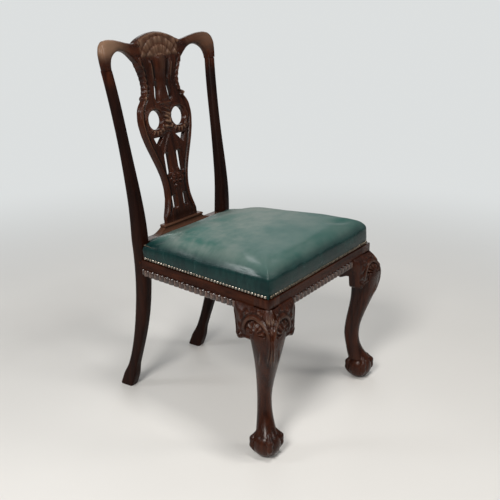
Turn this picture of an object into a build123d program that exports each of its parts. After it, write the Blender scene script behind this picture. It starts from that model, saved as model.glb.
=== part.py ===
import os
from math import atan2, cos, pi, radians, sin, sqrt, tan

from build123d import *

# A dining chair in the mid-Georgian manner, in millimetres.
# It faces -Y, +Z is up, and the origin is on the floor under the middle of its box.

os.makedirs("parts", exist_ok=True)

# Overall sizes
chair_height = 971.0  # floor to the top of the crest
chair_depth = 583.0  # front of the ball feet to the back of the rear feet
front_width = 523.6  # across the rails at the front corners
back_rake = 9.5  # lean of the back, in degrees
glue_gap = 0.2  # clearance all round a tenon, peg or screw
soft_gap = 0.3  # clearance round the soft pieces

# Seat rails
rail_top = 440.0
rail_height = 56.0
rail_thickness = 28.0
lip_height = 22.0  # height of the polished band that shows below the leather
rebate_depth = 6.8  # how far the rails step back under the leather
rear_rail_thickness = 32.0
rear_rail_recess = 1.0  # rear rail's back inside the backs of the posts
rear_rail_ledge = 8.0  # where the seat is tacked down in front of the shoe
rear_rail_rise = 6.0  # height of the rear rail's top above the ledge
rail_tenon_length = 22.0
rail_tenon_thickness = 10.0
rail_tenon_inset = 12.0
rail_tenon_shoulder = 5.0  # rail left above and below each tenon
tenon_root = 6.0  # how far a tenon is let into its own piece
rear_tenon_length = 10.0
rear_tenon_thickness = 8.0
rear_tenon_setback = 21.0
post_lap = 3.0  # rail stock that is scribed round the front of a post

# Back posts, which are also the rear legs
post_foot_x = 158.5
post_seat_x = 184.0
post_lean = 20.0  # how far a post leans outwards between seat and crest
post_flare = 9.0  # extra outward curl just below the crest
post_sweep = 89.3  # how far a rear foot kicks back
crest_height = 87.0  # top of the crest above its joints with the posts
seat_line_rise = 11.0  # where a post is thickest, above the rails
bend_rise = 74.0  # middle of the bend into the rake, above the seat line
bend_softness = 60.0
seat_post_width = 36.0
seat_post_depth = 38.0
shank_width = 27.0
shank_depth = 28.5
foot_width = 28.0
foot_depth = 42.0
heel_height = 30.0  # squared part of a rear foot
heel_taper = 45.0  # height over which the foot thins to the shank
top_post_width = 26.5
top_post_depth = 26.0
post_corner = 6.0  # broad chamfer along each edge
post_tenon_width = 12.0
post_tenon_depth = 11.0
post_tenon_length = 26.0

# Splat and shoe
shoe_height = 22.0  # shoe, from the rear rail up to the splat's foot
splat_head_rise = 9.0  # splat's head above the posts' joints with the crest
splat_thickness = 9.0
splat_setback = 8.8  # splat's foot behind the middle of the posts
splat_tenon_length = 16.0
splat_tenon_margin = 12.0
splat_foot_half = 68.5  # half widths of the vase, from the foot up
splat_stem_half = 54.0
splat_ankle_half = 47.0
splat_hip_half = 55.0
splat_bowl_half = 74.0
splat_shoulder_half = 97.0
splat_belly_half = 105.5
splat_lip_half = 101.0
splat_scroll_half = 84.0
splat_waist_half = 71.0
splat_head_half = 88.0
oval_x = 48.0
oval_width = 58.0
oval_height = 51.0
eye_inner_x = 26.0  # the three-cornered piercings below the ovals
eye_outer_x = 66.0
eye_tip_x = 54.0
eye_drop = 26.0
slit_x = 26.0
long_slit_length = 66.0
long_slit_width = 21.0
upper_slit_length = 60.0
upper_slit_width = 18.0
lower_slit_length = 42.0
lower_slit_width = 18.0
lower_slit_x = 23.0
shoe_length = 240.0
shoe_top_length = 164.0
shoe_depth = 22.0
shoe_top_depth = 17.0
shoe_bead = 7.0

# Crest rail
crest_thickness = 25.0
crest_ear = 6.0  # how far an ear overhangs its post
crest_arch_rise = 43.0  # top of the openings beside the splat, above the posts' joints
dip_drop = 27.0  # dips beside the dome, below its peak
shoulder_drop = 12.0  # shoulders, below the dome's peak

# Cabriole front legs with ball and claw feet
corner_overhang = 11.0  # rail corner outside the middle of the ball, each way
ball_radius = 36.0
ball_height = 33.0
block_side = 46.0  # square top of the leg, between the rails
knee_height = 318.0
knee_reach = 49.0
knee_back = 33.0
knee_width = 86.0
knee_roundness = 1.25  # 1 is square, 2 is round
ankle_height = 140.0
ankle_front = -6.0
ankle_back = 48.5
ankle_width = 35.0
claw_base_height = 64.0
claw_base_front = 26.0
claw_base_back = 34.0
claw_base_width = 50.0
block_front = 15.0  # leg's section where it meets the rails
block_back = 46.0
block_width = 60.0
talon_radius = 7.5
talon_track = 34.5

# Knee brackets, measured from the corner of the rails
knee_bracket_length = 103.0
knee_bracket_drop = 86.0
knee_bracket_back = 16.0  # thickness behind the rail's face
knee_bracket_proud = 24.0  # thickness in front of it, beside the knee
knee_bracket_top = 4.0  # thickness in front of it, at the rail
knee_bracket_thin = 7.0  # thickness in front of it, at the far end
knee_bracket_toe = 22.0  # height of the far end
knee_bracket_start = 34.0  # where it is let into the leg
scroll_radius = 11.0
scroll_setback = 26.0  # middle of the scroll from the far end

# Gadrooned strips under the rails
gadroon_height = 24.0
gadroon_depth = 15.0
gadroon_pitch = 18.0
gadroon_bulge = 3.5
gadroon_setback = 0.5
gadroon_foot = 7.0  # thickness left at the lower edge

# Seat upholstery
leather_thickness = 2.0
leather_skirt = 41.0  # straight height of the leather's sides
leather_corner = 4.0  # rounding of the frame's front corners under the leather
seat_shoulder = 22.0  # radius of the seat's rounded upper edge
seat_crown_rise = 15.0  # middle of the seat above its rounded edge
webbing_width = 50.0
webbing_thickness = 1.5
webbing_pitch = 75.0
webbing_setback = 12.0  # webbing's ends in from the rails' faces
hessian_thickness = 1.2
nail_pitch = 10.0
nail_radius = 4.5
nail_rise = 2.2
nail_above_lip = 5.0

# Corner blocks, screws and pegs
corner_block_reach = 48.0
corner_block_height = 36.0
corner_block_drop = 8.0
screw_sides = 8
screw_radius = 2.2
screw_head_radius = 4.5
screw_head_thickness = 2.5
screw_length = 49.0
peg_sides = 8  # a peg is whittled, not turned
peg_radius = 3.6
peg_length = 26.0
peg_above_rail_bottom = 11.0
peg_setback = 14.0
peg_proud = 0.6

# Places that follow from the sizes
rail_bottom = rail_top - rail_height
lip_top = rail_bottom + lip_height
front_half = front_width / 2
ball_x = front_half - corner_overhang
ball_y = -chair_depth / 2 + ball_radius
front_y = ball_y - corner_overhang
rear_foot_y = chair_depth / 2 - foot_depth / 2
post_seat_y = rear_foot_y - post_sweep
post_front_y = post_seat_y - seat_post_depth / 2
post_inner_x = post_seat_x - seat_post_width / 2
side_angle = atan2(front_half - post_seat_x - seat_post_width / 2, post_front_y - front_y)
rake = radians(back_rake)
rear_rail_front = post_seat_y + seat_post_depth / 2 - rear_rail_recess - rear_rail_thickness
rear_rail_top = rail_top + rear_rail_rise
seat_line = rail_top + seat_line_rise
post_joint = chair_height - crest_height
splat_foot = rear_rail_top + shoe_height
splat_head = post_joint + splat_head_rise
shoe_front = rear_rail_front + rear_rail_ledge
back_y = post_seat_y + splat_setback
diagonal = 1 / sqrt(2)

# The raked plane in the middle of the splat: local x runs across, y up the back, z to the front.
back_plane = Plane(
    origin=(0, back_y, splat_foot), x_dir=(1, 0, 0), z_dir=(0, -cos(rake), sin(rake))
)

# The faces of two rails, from their front corners: local x runs along the rail, y up, z outwards.
front_face = Plane(origin=(-front_half, front_y, rail_bottom), x_dir=(1, 0, 0), z_dir=(0, -1, 0))
left_face = Plane(
    origin=(front_half, front_y, rail_bottom),
    x_dir=(-sin(side_angle), cos(side_angle), 0),
    z_dir=(cos(side_angle), sin(side_angle), 0),
)


def smooth(share):
    # An S-curve from 0 to 1.
    share = min(max(share, 0.0), 1.0)
    return share * share * (3 - 2 * share)


def mix(first, last, share):
    return first + (last - first) * share


def up_back(height):
    # Distance up the raked plane of a height above the floor.
    return (height - splat_foot) / cos(rake)


def side_point(along, inset):
    # A point in plan on the left rail: distance back from the front corner, and inwards from the face.
    x = front_half - along * sin(side_angle) - inset * cos(side_angle)
    y = front_y + along * cos(side_angle) - inset * sin(side_angle)
    return (x, y)


def side_x(y, inset):
    # Half width of the seat frame at a depth, measured at an inset from the rails' faces.
    along = (y - front_y + inset * sin(side_angle)) / cos(side_angle)
    return side_point(along, inset)[0]


def finish(part, name):
    part.label = name
    export_step(part, f"parts/{name}.step")


# Back posts


def post_centre(height):
    # The middle of a post: a parabola below the seat, then a bend into the straight rake.
    below = height / seat_line
    above = (height - seat_line) / (post_joint - seat_line)
    x = mix(post_foot_x, post_seat_x, below**2)
    if above > 0:
        x = post_seat_x + post_lean * above + post_flare * above**5
    past_bend = height - seat_line - bend_rise
    lean_back = tan(rake) * (past_bend + sqrt(past_bend**2 + bend_softness**2)) / 2
    sweep = post_sweep * max(0, 1 - height / rail_top) ** 2
    return (x, post_seat_y + sweep + lean_back * smooth(height / seat_line))


def post_size(height):
    # Width and depth of a post's section.
    above = (height - seat_line) / (post_joint - seat_line)
    if above > 0:
        width = mix(seat_post_width, top_post_width, smooth(above / 0.7))
        depth = mix(seat_post_depth, top_post_depth, smooth(above / 0.65))
        return (width, depth)
    below = height / seat_line
    heel = 1 - smooth((height - heel_height) / heel_taper)
    width = mix(shank_width, seat_post_width, smooth((below - 0.2) / 0.8))
    depth = mix(shank_depth, seat_post_depth, smooth((below - 0.18) / 0.42))
    return (width + (foot_width - shank_width) * heel, depth + (foot_depth - shank_depth) * heel)


heel_top = heel_height + heel_taper
post_heights = [0] + [heel_height + heel_taper * share for share in (0, 0.35, 0.7, 1)]
post_heights += [mix(heel_top, seat_line, share) for share in (0.2, 0.4, 0.6, 0.8, 1)]
post_heights += [mix(seat_line, post_joint, share) for share in (0.1, 0.2, 0.32, 0.5, 0.7)]
post_heights += [mix(seat_line, post_joint, share) for share in (0.85, 0.95, 1.06)]
post_joint_plane = Plane(
    origin=back_plane.from_local_coords((0, up_back(post_joint), 0)),
    x_dir=(1, 0, 0),
    z_dir=(0, sin(rake), cos(rake)),
)
post_top_middle = post_joint_plane.to_local_coords(Vector(*post_centre(post_joint), post_joint))


def post_tenon(gap):
    # The tenon that stands on a post's top, or with a gap the mortise for it in the crest.
    root = post_joint_plane.from_local_coords((post_top_middle.X, post_top_middle.Y, -tenon_root))
    with BuildPart(mode=Mode.PRIVATE) as tenon:
        with BuildSketch(Plane(origin=root, z_dir=post_joint_plane.z_dir)):
            Rectangle(post_tenon_width + 2 * gap, post_tenon_depth + 2 * gap)
        extrude(amount=tenon_root + post_tenon_length + gap)
    return tenon.part


def side_rail_tenon(start, end, gap):
    # A tenon between two distances along the left rail.
    near = rail_tenon_inset - gap
    far = rail_tenon_inset + rail_tenon_thickness + gap
    with BuildPart(mode=Mode.PRIVATE) as tenon:
        with BuildSketch(Plane.XY.offset(rail_bottom + rail_tenon_shoulder - gap)):
            Polygon(
                side_point(start, near),
                side_point(end, near),
                side_point(end, far),
                side_point(start, far),
                align=None,
            )
        extrude(amount=rail_height - 2 * rail_tenon_shoulder + 2 * gap)
    return tenon.part


side_rail_shoulder = (post_front_y - front_y) / cos(side_angle)


def side_rail_rear_tenon(gap):
    end = side_rail_shoulder + rail_tenon_length + gap
    return side_rail_tenon(side_rail_shoulder - tenon_root, end, gap)


def side_rail_front_tenon(gap):
    return side_rail_tenon(block_side - rail_tenon_length - gap, block_side + rail_tenon_inset, gap)


def cross_tenon(half_length, middle_y, thickness, gap):
    # The tenons at both ends of a rail that runs across the chair, as one bar.
    with BuildPart(mode=Mode.PRIVATE) as tenon:
        with BuildSketch(Plane.XY.offset(rail_bottom + rail_tenon_shoulder - gap)):
            with Locations((0, middle_y)):
                Rectangle(2 * (half_length + gap), thickness + 2 * gap)
        extrude(amount=rail_height - 2 * rail_tenon_shoulder + 2 * gap)
    return tenon.part


def rear_rail_tenons(gap):
    middle_y = rear_rail_front + rear_tenon_setback
    return cross_tenon(post_inner_x + rear_tenon_length, middle_y, rear_tenon_thickness, gap)


def front_rail_tenons(gap):
    half_length = front_half - block_side - rail_tenon_inset * tan(side_angle) + rail_tenon_length
    middle_y = front_y + rail_tenon_inset + rail_tenon_thickness / 2
    return cross_tenon(half_length, middle_y, rail_tenon_thickness, gap)


peg_height = rail_bottom + peg_above_rail_bottom
peg_start = post_centre(peg_height)[0] + post_size(peg_height)[0] / 2 + peg_proud
peg_plane = Plane(origin=(peg_start, post_front_y + peg_setback, peg_height), z_dir=(-1, 0, 0))


def peg(gap):
    with BuildPart(mode=Mode.PRIVATE) as pin:
        with BuildSketch(peg_plane.offset(-gap)):
            RegularPolygon(peg_radius + gap, peg_sides)
        extrude(amount=peg_length + 2 * gap)
    return pin.part


def screw(plane, gap):
    # A wood screw whose head is let in flush with the plane.
    with BuildPart(mode=Mode.PRIVATE) as body:
        with BuildSketch(plane):
            RegularPolygon(screw_head_radius + gap, screw_sides)
        extrude(amount=screw_head_thickness)
        with BuildSketch(plane):
            RegularPolygon(screw_radius + gap, screw_sides)
        extrude(amount=screw_length + gap)
    return body.part


# Corner blocks in plan, and the screw through the middle of each one's long face

block_rear_y = front_y + block_side * cos(side_angle)
block_corner = (front_half - block_side - block_side * sin(side_angle), block_rear_y)
front_inner_y = front_y + rail_thickness
front_rail_end = front_half - block_side - rail_thickness * tan(side_angle)
front_block_outline = [
    (front_rail_end, front_inner_y),
    (front_rail_end - corner_block_reach, front_inner_y),
    (side_x(block_rear_y + corner_block_reach, rail_thickness), block_rear_y + corner_block_reach),
    (side_x(block_rear_y, rail_thickness), block_rear_y),
    block_corner,
]
rear_corner = (side_x(rear_rail_front, rail_thickness), rear_rail_front)
rear_reach = corner_block_reach + seat_post_width / 2
rear_block_outline = [
    rear_corner,
    (rear_corner[0] - rear_reach, rear_rail_front),
    (side_x(rear_rail_front - rear_reach, rail_thickness), rear_rail_front - rear_reach),
]
corner_block_bottom = rail_top - corner_block_drop - corner_block_height


def screw_plane(outline, target):
    # The plane in a block's long face, with its normal pointing at the corner.
    first, last = outline[1], outline[2]
    height = corner_block_bottom + corner_block_height / 2
    middle = ((first[0] + last[0]) / 2, (first[1] + last[1]) / 2, height)
    into = Vector(last[0] - first[0], last[1] - first[1]).cross(Vector(0, 0, 1))
    if into.dot(Vector(target[0] - middle[0], target[1] - middle[1])) < 0:
        into = into * -1
    return Plane(origin=middle, z_dir=into)


front_screw = screw_plane(front_block_outline, block_corner)
rear_screw = screw_plane(rear_block_outline, rear_corner)

with BuildPart() as post_blank:
    for height in post_heights:
        with BuildSketch(Plane(origin=(*post_centre(height), height))):
            Rectangle(*post_size(height))
            chamfer(vertices(), post_corner)
    loft(ruled=True)
    split(bisect_by=post_joint_plane, keep=Keep.BOTTOM)

with BuildPart() as back_post_left:
    add(post_blank.part)
    add(post_tenon(0))
    add(side_rail_rear_tenon(glue_gap), mode=Mode.SUBTRACT)
    add(rear_rail_tenons(glue_gap), mode=Mode.SUBTRACT)
    add(peg(glue_gap), mode=Mode.SUBTRACT)
    add(screw(rear_screw, glue_gap), mode=Mode.SUBTRACT)

with BuildPart() as back_post_right:
    mirror(back_post_left.part, about=Plane.YZ)

finish(back_post_left.part, "back_post_left")
finish(back_post_right.part, "back_post_right")

# Splat: a pierced vase outline in the raked plane


def splat_point(across, share):
    # A point of the splat, with its height as a share of the way from the shoe to the crest.
    return (across, up_back(mix(splat_foot, splat_head, share)))


def splat_tenon(height, half_width, gap):
    # The full thickness of the splat, let into the shoe or the crest at a height.
    with BuildPart(mode=Mode.PRIVATE) as tenon:
        with BuildSketch(back_plane):
            with Locations((0, up_back(height))):
                Rectangle(2 * (half_width + gap), 2 * (splat_tenon_length + gap))
        extrude(amount=splat_thickness / 2 + gap, both=True)
    return tenon.part


splat_head_tenon_half = splat_head_half - splat_tenon_margin

with BuildPart() as splat:
    with BuildSketch(back_plane):
        with BuildLine():
            foot = Line((splat_foot_half, -splat_tenon_length), splat_point(splat_foot_half, 0))
            stem = ThreePointArc(
                foot @ 1, splat_point(splat_stem_half, 0.1), splat_point(splat_ankle_half, 0.21)
            )
            hip = ThreePointArc(
                stem @ 1, splat_point(splat_hip_half, 0.31), splat_point(splat_bowl_half, 0.416)
            )
            bowl = ThreePointArc(
                hip @ 1, splat_point(splat_shoulder_half, 0.545), splat_point(splat_belly_half, 0.659)
            )
            belly = ThreePointArc(
                bowl @ 1, splat_point(splat_lip_half, 0.73), splat_point(splat_scroll_half, 0.784)
            )
            neck = ThreePointArc(
                belly @ 1, splat_point(splat_waist_half, 0.87), splat_point(splat_head_half, 1)
            )
            Polyline(neck @ 1, splat_point(0, 1), (0, -splat_tenon_length), foot @ 0)
        make_face()
        mirror(about=Plane.YZ)
        for side in (1, -1):
            with Locations(splat_point(side * oval_x, 0.647)):
                SlotOverall(oval_width, oval_height, mode=Mode.SUBTRACT)
            eye_top = splat_point(0, 0.539)[1]
            Polygon(
                (side * eye_inner_x, eye_top),
                (side * eye_outer_x, eye_top),
                (side * eye_tip_x, eye_top - eye_drop),
                align=None,
                mode=Mode.SUBTRACT,
            )
            with Locations(splat_point(side * slit_x, 0.365)):
                SlotOverall(long_slit_length, long_slit_width, rotation=90, mode=Mode.SUBTRACT)
            with Locations(splat_point(side * lower_slit_x, 0.118)):
                SlotOverall(lower_slit_length, lower_slit_width, rotation=90, mode=Mode.SUBTRACT)
            with Locations(splat_point(side * slit_x, 0.812)):
                SlotOverall(upper_slit_length, upper_slit_width, rotation=90, mode=Mode.SUBTRACT)
    extrude(amount=splat_thickness / 2, both=True)
    add(splat_tenon(splat_head, splat_head_tenon_half, 0))

finish(splat.part, "splat")

# Crest rail: a serpentine outline cut from a bowed plank

crest_bow = -post_top_middle.Y
plank_half = front_half
plank_bow = crest_bow * (plank_half / post_top_middle.X) ** 2
crest_inner = post_top_middle.X - top_post_width / 2
crest_outer = post_top_middle.X + top_post_width / 2
crest_tip = crest_outer + crest_ear
crest_peak = chair_height - crest_thickness / 2 * sin(rake)
arch_top = post_joint + crest_arch_rise
arch_middle = mix(splat_head_half, crest_inner, 0.55)
shoulder_x = 0.865 * crest_outer
dip_x = 0.41 * crest_outer


def crest_point(across, below_peak):
    return (across, up_back(crest_peak - below_peak))


with BuildPart() as crest_rail:
    with BuildSketch(back_plane):
        with BuildLine():
            rise = ThreePointArc(
                (splat_head_half, up_back(splat_head)),
                (mix(splat_head_half, arch_middle, 0.4), up_back(mix(splat_head, arch_top, 0.6))),
                (arch_middle, up_back(arch_top)),
            )
            fall = ThreePointArc(
                rise @ 1,
                (mix(arch_middle, crest_inner, 0.75), up_back(mix(post_joint, arch_top, 0.66))),
                (crest_inner, up_back(post_joint)),
            )
            joint = Line(fall @ 1, (crest_outer, up_back(post_joint)))
            ear = ThreePointArc(
                joint @ 1,
                (crest_outer + 0.8 * crest_ear, up_back(mix(post_joint, crest_peak, 0.25))),
                (crest_tip, up_back(mix(post_joint, crest_peak, 0.5))),
            )
            ear_top = ThreePointArc(
                ear @ 1,
                (mix(shoulder_x, crest_tip, 0.7), up_back(mix(post_joint, crest_peak, 0.78))),
                crest_point(shoulder_x, shoulder_drop),
            )
            shoulder = ThreePointArc(
                ear_top @ 1,
                crest_point((shoulder_x + dip_x) / 2, mix(shoulder_drop, dip_drop, 0.37)),
                crest_point(dip_x, dip_drop),
            )
            dome = ThreePointArc(
                shoulder @ 1, crest_point(0.55 * dip_x, 0.35 * dip_drop), crest_point(0, 0)
            )
            Polyline(dome @ 1, (0, up_back(splat_head)), rise @ 0)
        make_face()
        mirror(about=Plane.YZ)
    extrude(amount=2 * plank_bow, both=True)
    with BuildSketch(post_joint_plane.offset(-post_tenon_length)):
        with BuildLine():
            back_edge = ThreePointArc(
                (-plank_half, crest_thickness / 2 - plank_bow),
                (0, crest_thickness / 2),
                (plank_half, crest_thickness / 2 - plank_bow),
            )
            front_edge = ThreePointArc(
                (-plank_half, -crest_thickness / 2 - plank_bow),
                (0, -crest_thickness / 2),
                (plank_half, -crest_thickness / 2 - plank_bow),
            )
            Line(back_edge @ 0, front_edge @ 0)
            Line(back_edge @ 1, front_edge @ 1)
        make_face()
    extrude(amount=chair_height - post_joint + 2 * post_tenon_length, mode=Mode.INTERSECT)
    add(splat_tenon(splat_head, splat_head_tenon_half, glue_gap), mode=Mode.SUBTRACT)
    add(post_tenon(glue_gap), mode=Mode.SUBTRACT)
    mirror(post_tenon(glue_gap), about=Plane.YZ, mode=Mode.SUBTRACT)

finish(crest_rail.part, "crest_rail")

# Shoe: a moulding returned round its ends, slotted for the splat's foot

cove_top = splat_foot - shoe_bead
shoe_back = shoe_front + shoe_depth
shoe_top_front = shoe_back - shoe_top_depth

with BuildPart() as splat_shoe:
    with BuildSketch(Plane.XZ.offset(-shoe_back)):
        with BuildLine():
            end_cove = TangentArc(
                (shoe_length / 2, rear_rail_top), (shoe_top_length / 2, cove_top), tangent=(-1, 0.1)
            )
            end_bead = ThreePointArc(
                end_cove @ 1,
                (shoe_top_length / 2 + shoe_bead / 3, splat_foot - shoe_bead / 2),
                (shoe_top_length / 2, splat_foot),
            )
            Polyline(end_bead @ 1, (0, splat_foot), (0, rear_rail_top), end_cove @ 0)
        make_face()
        mirror(about=Plane.YZ)
    extrude(amount=shoe_depth + shoe_bead)
    with BuildSketch(Plane.YZ.offset(-shoe_length)):
        with BuildLine():
            front_cove = ThreePointArc(
                (shoe_front, rear_rail_top),
                (mix(shoe_front, shoe_top_front, 0.75), mix(rear_rail_top, cove_top, 0.4)),
                (shoe_top_front, cove_top),
            )
            front_bead = ThreePointArc(
                front_cove @ 1,
                (shoe_top_front - shoe_bead / 3, splat_foot - shoe_bead / 2),
                (shoe_top_front, splat_foot),
            )
            Polyline(
                front_bead @ 1, (shoe_back, splat_foot), (shoe_back, rear_rail_top), front_cove @ 0
            )
        make_face()
    extrude(amount=2 * shoe_length, mode=Mode.INTERSECT)
    add(splat_tenon(splat_foot, splat_foot_half, glue_gap), mode=Mode.SUBTRACT)

finish(splat_shoe.part, "splat_shoe")

# Seat rails

with BuildPart() as rear_rail:
    with BuildSketch(Plane.XY.offset(rail_bottom)):
        with Locations((0, rear_rail_front + rear_rail_thickness / 2)):
            Rectangle(2 * post_seat_x, rear_rail_thickness)
    extrude(amount=rear_rail_top - rail_bottom)
    with BuildSketch(Plane.XY.offset(rail_top)):
        with Locations((0, rear_rail_front + rear_rail_ledge / 2)):
            Rectangle(2 * post_seat_x, rear_rail_ledge)
    extrude(amount=rear_rail_rise, mode=Mode.SUBTRACT)
    add(post_blank.part, mode=Mode.SUBTRACT)
    mirror(post_blank.part, about=Plane.YZ, mode=Mode.SUBTRACT)
    add(rear_rail_tenons(0))

finish(rear_rail.part, "rear_rail")

side_rail_end = side_rail_shoulder + post_lap

with BuildPart() as side_rail_left:
    with BuildSketch(Plane.XY.offset(rail_bottom)):
        Polygon(
            side_point(block_side, 0),
            side_point(side_rail_end, 0),
            side_point(side_rail_end, rail_thickness),
            (side_x(block_rear_y, rail_thickness), block_rear_y),
            align=None,
        )
    extrude(amount=rail_height)
    with BuildSketch(Plane.XY.offset(lip_top)):
        Polygon(
            side_point(0, -rebate_depth),
            side_point(side_rail_end, -rebate_depth),
            side_point(side_rail_end, rebate_depth),
            side_point(0, rebate_depth),
            align=None,
        )
    extrude(amount=rail_height, mode=Mode.SUBTRACT)
    add(post_blank.part, mode=Mode.SUBTRACT)
    add(side_rail_front_tenon(0))
    add(side_rail_rear_tenon(0))
    add(peg(glue_gap), mode=Mode.SUBTRACT)

with BuildPart() as side_rail_right:
    mirror(side_rail_left.part, about=Plane.YZ)

with BuildPart() as front_rail:
    with BuildSketch(Plane.XY.offset(rail_bottom)):
        Polygon(
            (front_half - block_side, front_y),
            (front_rail_end, front_inner_y),
            (-front_rail_end, front_inner_y),
            (block_side - front_half, front_y),
            align=None,
        )
    extrude(amount=rail_height)
    with BuildSketch(Plane.XY.offset(lip_top)):
        with Locations((0, front_y)):
            Rectangle(front_width, 2 * rebate_depth)
    extrude(amount=rail_height, mode=Mode.SUBTRACT)
    add(front_rail_tenons(0))

finish(side_rail_left.part, "side_rail_left")
finish(side_rail_right.part, "side_rail_right")
finish(front_rail.part, "front_rail")

# Front legs: rounded sections along a cabriole curve, on a ball gripped by four talons


def leg_section(height):
    # Front, back and width of the leg at a height, and how round its section is.
    if height > knee_height:
        share = (height - knee_height) / (rail_bottom - knee_height)
        front = mix(block_front, knee_reach, cos(share * pi / 2))
        back = mix(knee_back, block_back, share)
        width = mix(knee_width, block_width, smooth(share))
        return (front, back, width, knee_roundness)
    if height > ankle_height:
        share = (height - ankle_height) / (knee_height - ankle_height)
        front = mix(ankle_front, knee_reach, smooth(share))
        back = mix(ankle_back, knee_back, smooth(share / 0.7))
        width = mix(ankle_width, knee_width, share**1.5)
        return (front, back, width, mix(2, knee_roundness, smooth(share)))
    share = (ankle_height - height) / (ankle_height - claw_base_height)
    front = mix(ankle_front, claw_base_front, share**2.2)
    back = mix(ankle_back, claw_base_back, share**1.3)
    width = mix(ankle_width, claw_base_width, share**2.2)
    return (front, back, width, 2)


def leg_point(height, turn):
    # A point on the leg's section, a superellipse with one corner pointing outwards.
    front, back, width, roundness = leg_section(height)
    across, along = sin(2 * pi * turn), cos(2 * pi * turn)
    reach = abs(along) ** (2 / roundness) * (front + back) / 2
    spread = abs(across) ** (2 / roundness) * width / 2
    middle = (front - back) / 2
    return (middle + (reach if along > 0 else -reach), spread if across > 0 else -spread)


leg_sides = 12
ball_shares = (0, 0.14, 0.32, 0.5, 0.7, 0.88)
leg_heights = [mix(claw_base_height, ankle_height, share) for share in (0, 0.2, 0.4, 0.7)]
leg_heights += [mix(ankle_height, knee_height, share) for share in (0, 0.22, 0.44, 0.6, 0.72, 0.86)]
leg_heights += [mix(knee_height, rail_bottom, share) for share in (0, 0.3, 0.55, 0.78, 1)]
leg_out = Vector(diagonal, -diagonal, 0)
ball_middle = Vector(ball_x, ball_y, ball_height)
# Angles down from the top of the ball, and how thick a talon is there: it swells at its knuckles.
talon_steps = ((22, 0.9), (48, 1.1), (70, 0.9), (95, 1.15), (125, 0.7))

with BuildPart() as front_leg_left:
    for height in leg_heights:
        with BuildSketch(Plane(origin=(ball_x, ball_y, height), x_dir=leg_out, z_dir=(0, 0, 1))):
            Polygon(*[leg_point(height, side / leg_sides) for side in range(leg_sides)], align=None)
    loft(ruled=True)
    for share in ball_shares:
        rise = mix(-ball_height, claw_base_height - ball_height, share)
        with BuildSketch(Plane(origin=(ball_x, ball_y, ball_height + rise))):
            RegularPolygon(sqrt(ball_radius**2 - rise**2), leg_sides)
    loft(ruled=True)
    for turn in (0, 90, 180, 270):
        outwards = leg_out.rotate(Axis.Z, turn)
        for angle, swell in talon_steps:
            radial = outwards * sin(radians(angle)) + Vector(0, 0, cos(radians(angle)))
            travel = outwards * cos(radians(angle)) - Vector(0, 0, sin(radians(angle)))
            with BuildSketch(Plane(origin=ball_middle + radial * talon_track, x_dir=radial, z_dir=travel)):
                RegularPolygon(talon_radius * swell, 5)
        loft(ruled=True)
    split(bisect_by=Plane.XY, keep=Keep.TOP)
    with BuildSketch(Plane.XY.offset(rail_bottom)):
        Polygon(
            (front_half, front_y),
            (front_half - block_side, front_y),
            block_corner,
            side_point(block_side, 0),
            align=None,
        )
    extrude(amount=lip_height)
    with BuildSketch(Plane.XY.offset(lip_top)):
        stepped = Polygon(
            (side_x(front_y + rebate_depth, rebate_depth), front_y + rebate_depth),
            (front_half - block_side, front_y + rebate_depth),
            block_corner,
            (side_x(block_rear_y, rebate_depth), block_rear_y),
            align=None,
        )
        fillet(stepped.vertices().sort_by(Axis.X)[-1], leather_corner)
    extrude(amount=rail_top - lip_top)
    add(side_rail_front_tenon(glue_gap), mode=Mode.SUBTRACT)
    add(front_rail_tenons(glue_gap), mode=Mode.SUBTRACT)
    add(screw(front_screw, glue_gap), mode=Mode.SUBTRACT)

with BuildPart() as front_leg_right:
    mirror(front_leg_left.part, about=Plane.YZ)

finish(front_leg_left.part, "front_leg_left")
finish(front_leg_right.part, "front_leg_right")

# Knee brackets: scroll-ended wings that carry the knee's curve out along the rails


def knee_bracket(face, leg):
    start = knee_bracket_start
    scroll_middle = (knee_bracket_length - scroll_setback, scroll_radius - knee_bracket_drop)
    scroll_edge = (scroll_middle[0] + scroll_radius, scroll_middle[1])
    plan = Plane(origin=face.origin, x_dir=face.x_dir, z_dir=(0, 0, -1))
    profile = Plane(origin=face.origin, x_dir=face.z_dir, z_dir=face.x_dir)
    with BuildPart(mode=Mode.PRIVATE) as bracket:
        with BuildSketch(face.offset(-knee_bracket_back)):
            with BuildLine():
                toe = Line((knee_bracket_length, 0), (knee_bracket_length, -knee_bracket_toe))
                sweep_in = TangentArc(toe @ 1, scroll_edge, tangent=(-0.3, -1))
                Polyline(sweep_in @ 1, scroll_middle, (start, scroll_middle[1]), (start, 0), toe @ 0)
            make_face()
            with Locations(scroll_middle):
                Circle(scroll_radius)
        extrude(amount=knee_bracket_back + knee_bracket_proud)
        with BuildSketch(plan):
            with BuildLine():
                flare = TangentArc(
                    (block_side, knee_bracket_proud),
                    (knee_bracket_length, knee_bracket_thin),
                    tangent=(1, 0),
                )
                Polyline(
                    flare @ 1,
                    (knee_bracket_length, -knee_bracket_back),
                    (0, -knee_bracket_back),
                    (0, knee_bracket_proud),
                    flare @ 0,
                )
            make_face()
        extrude(amount=knee_bracket_drop, mode=Mode.INTERSECT)
        with BuildSketch(profile):
            with BuildLine():
                swell = ThreePointArc(
                    (knee_bracket_top, 0),
                    (0.8 * knee_bracket_proud, 0.3 * knee_bracket_drop),
                    (0.8 * knee_bracket_proud, knee_bracket_drop),
                )
                Polyline(
                    swell @ 1,
                    (-knee_bracket_back, knee_bracket_drop),
                    (-knee_bracket_back, 0),
                    swell @ 0,
                )
            make_face()
        extrude(amount=knee_bracket_length, mode=Mode.INTERSECT)
        add(leg, mode=Mode.SUBTRACT)
    return bracket.part


with BuildPart() as knee_bracket_front_right:
    add(knee_bracket(front_face, front_leg_right.part))

with BuildPart() as knee_bracket_front_left:
    mirror(knee_bracket_front_right.part, about=Plane.YZ)

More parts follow.
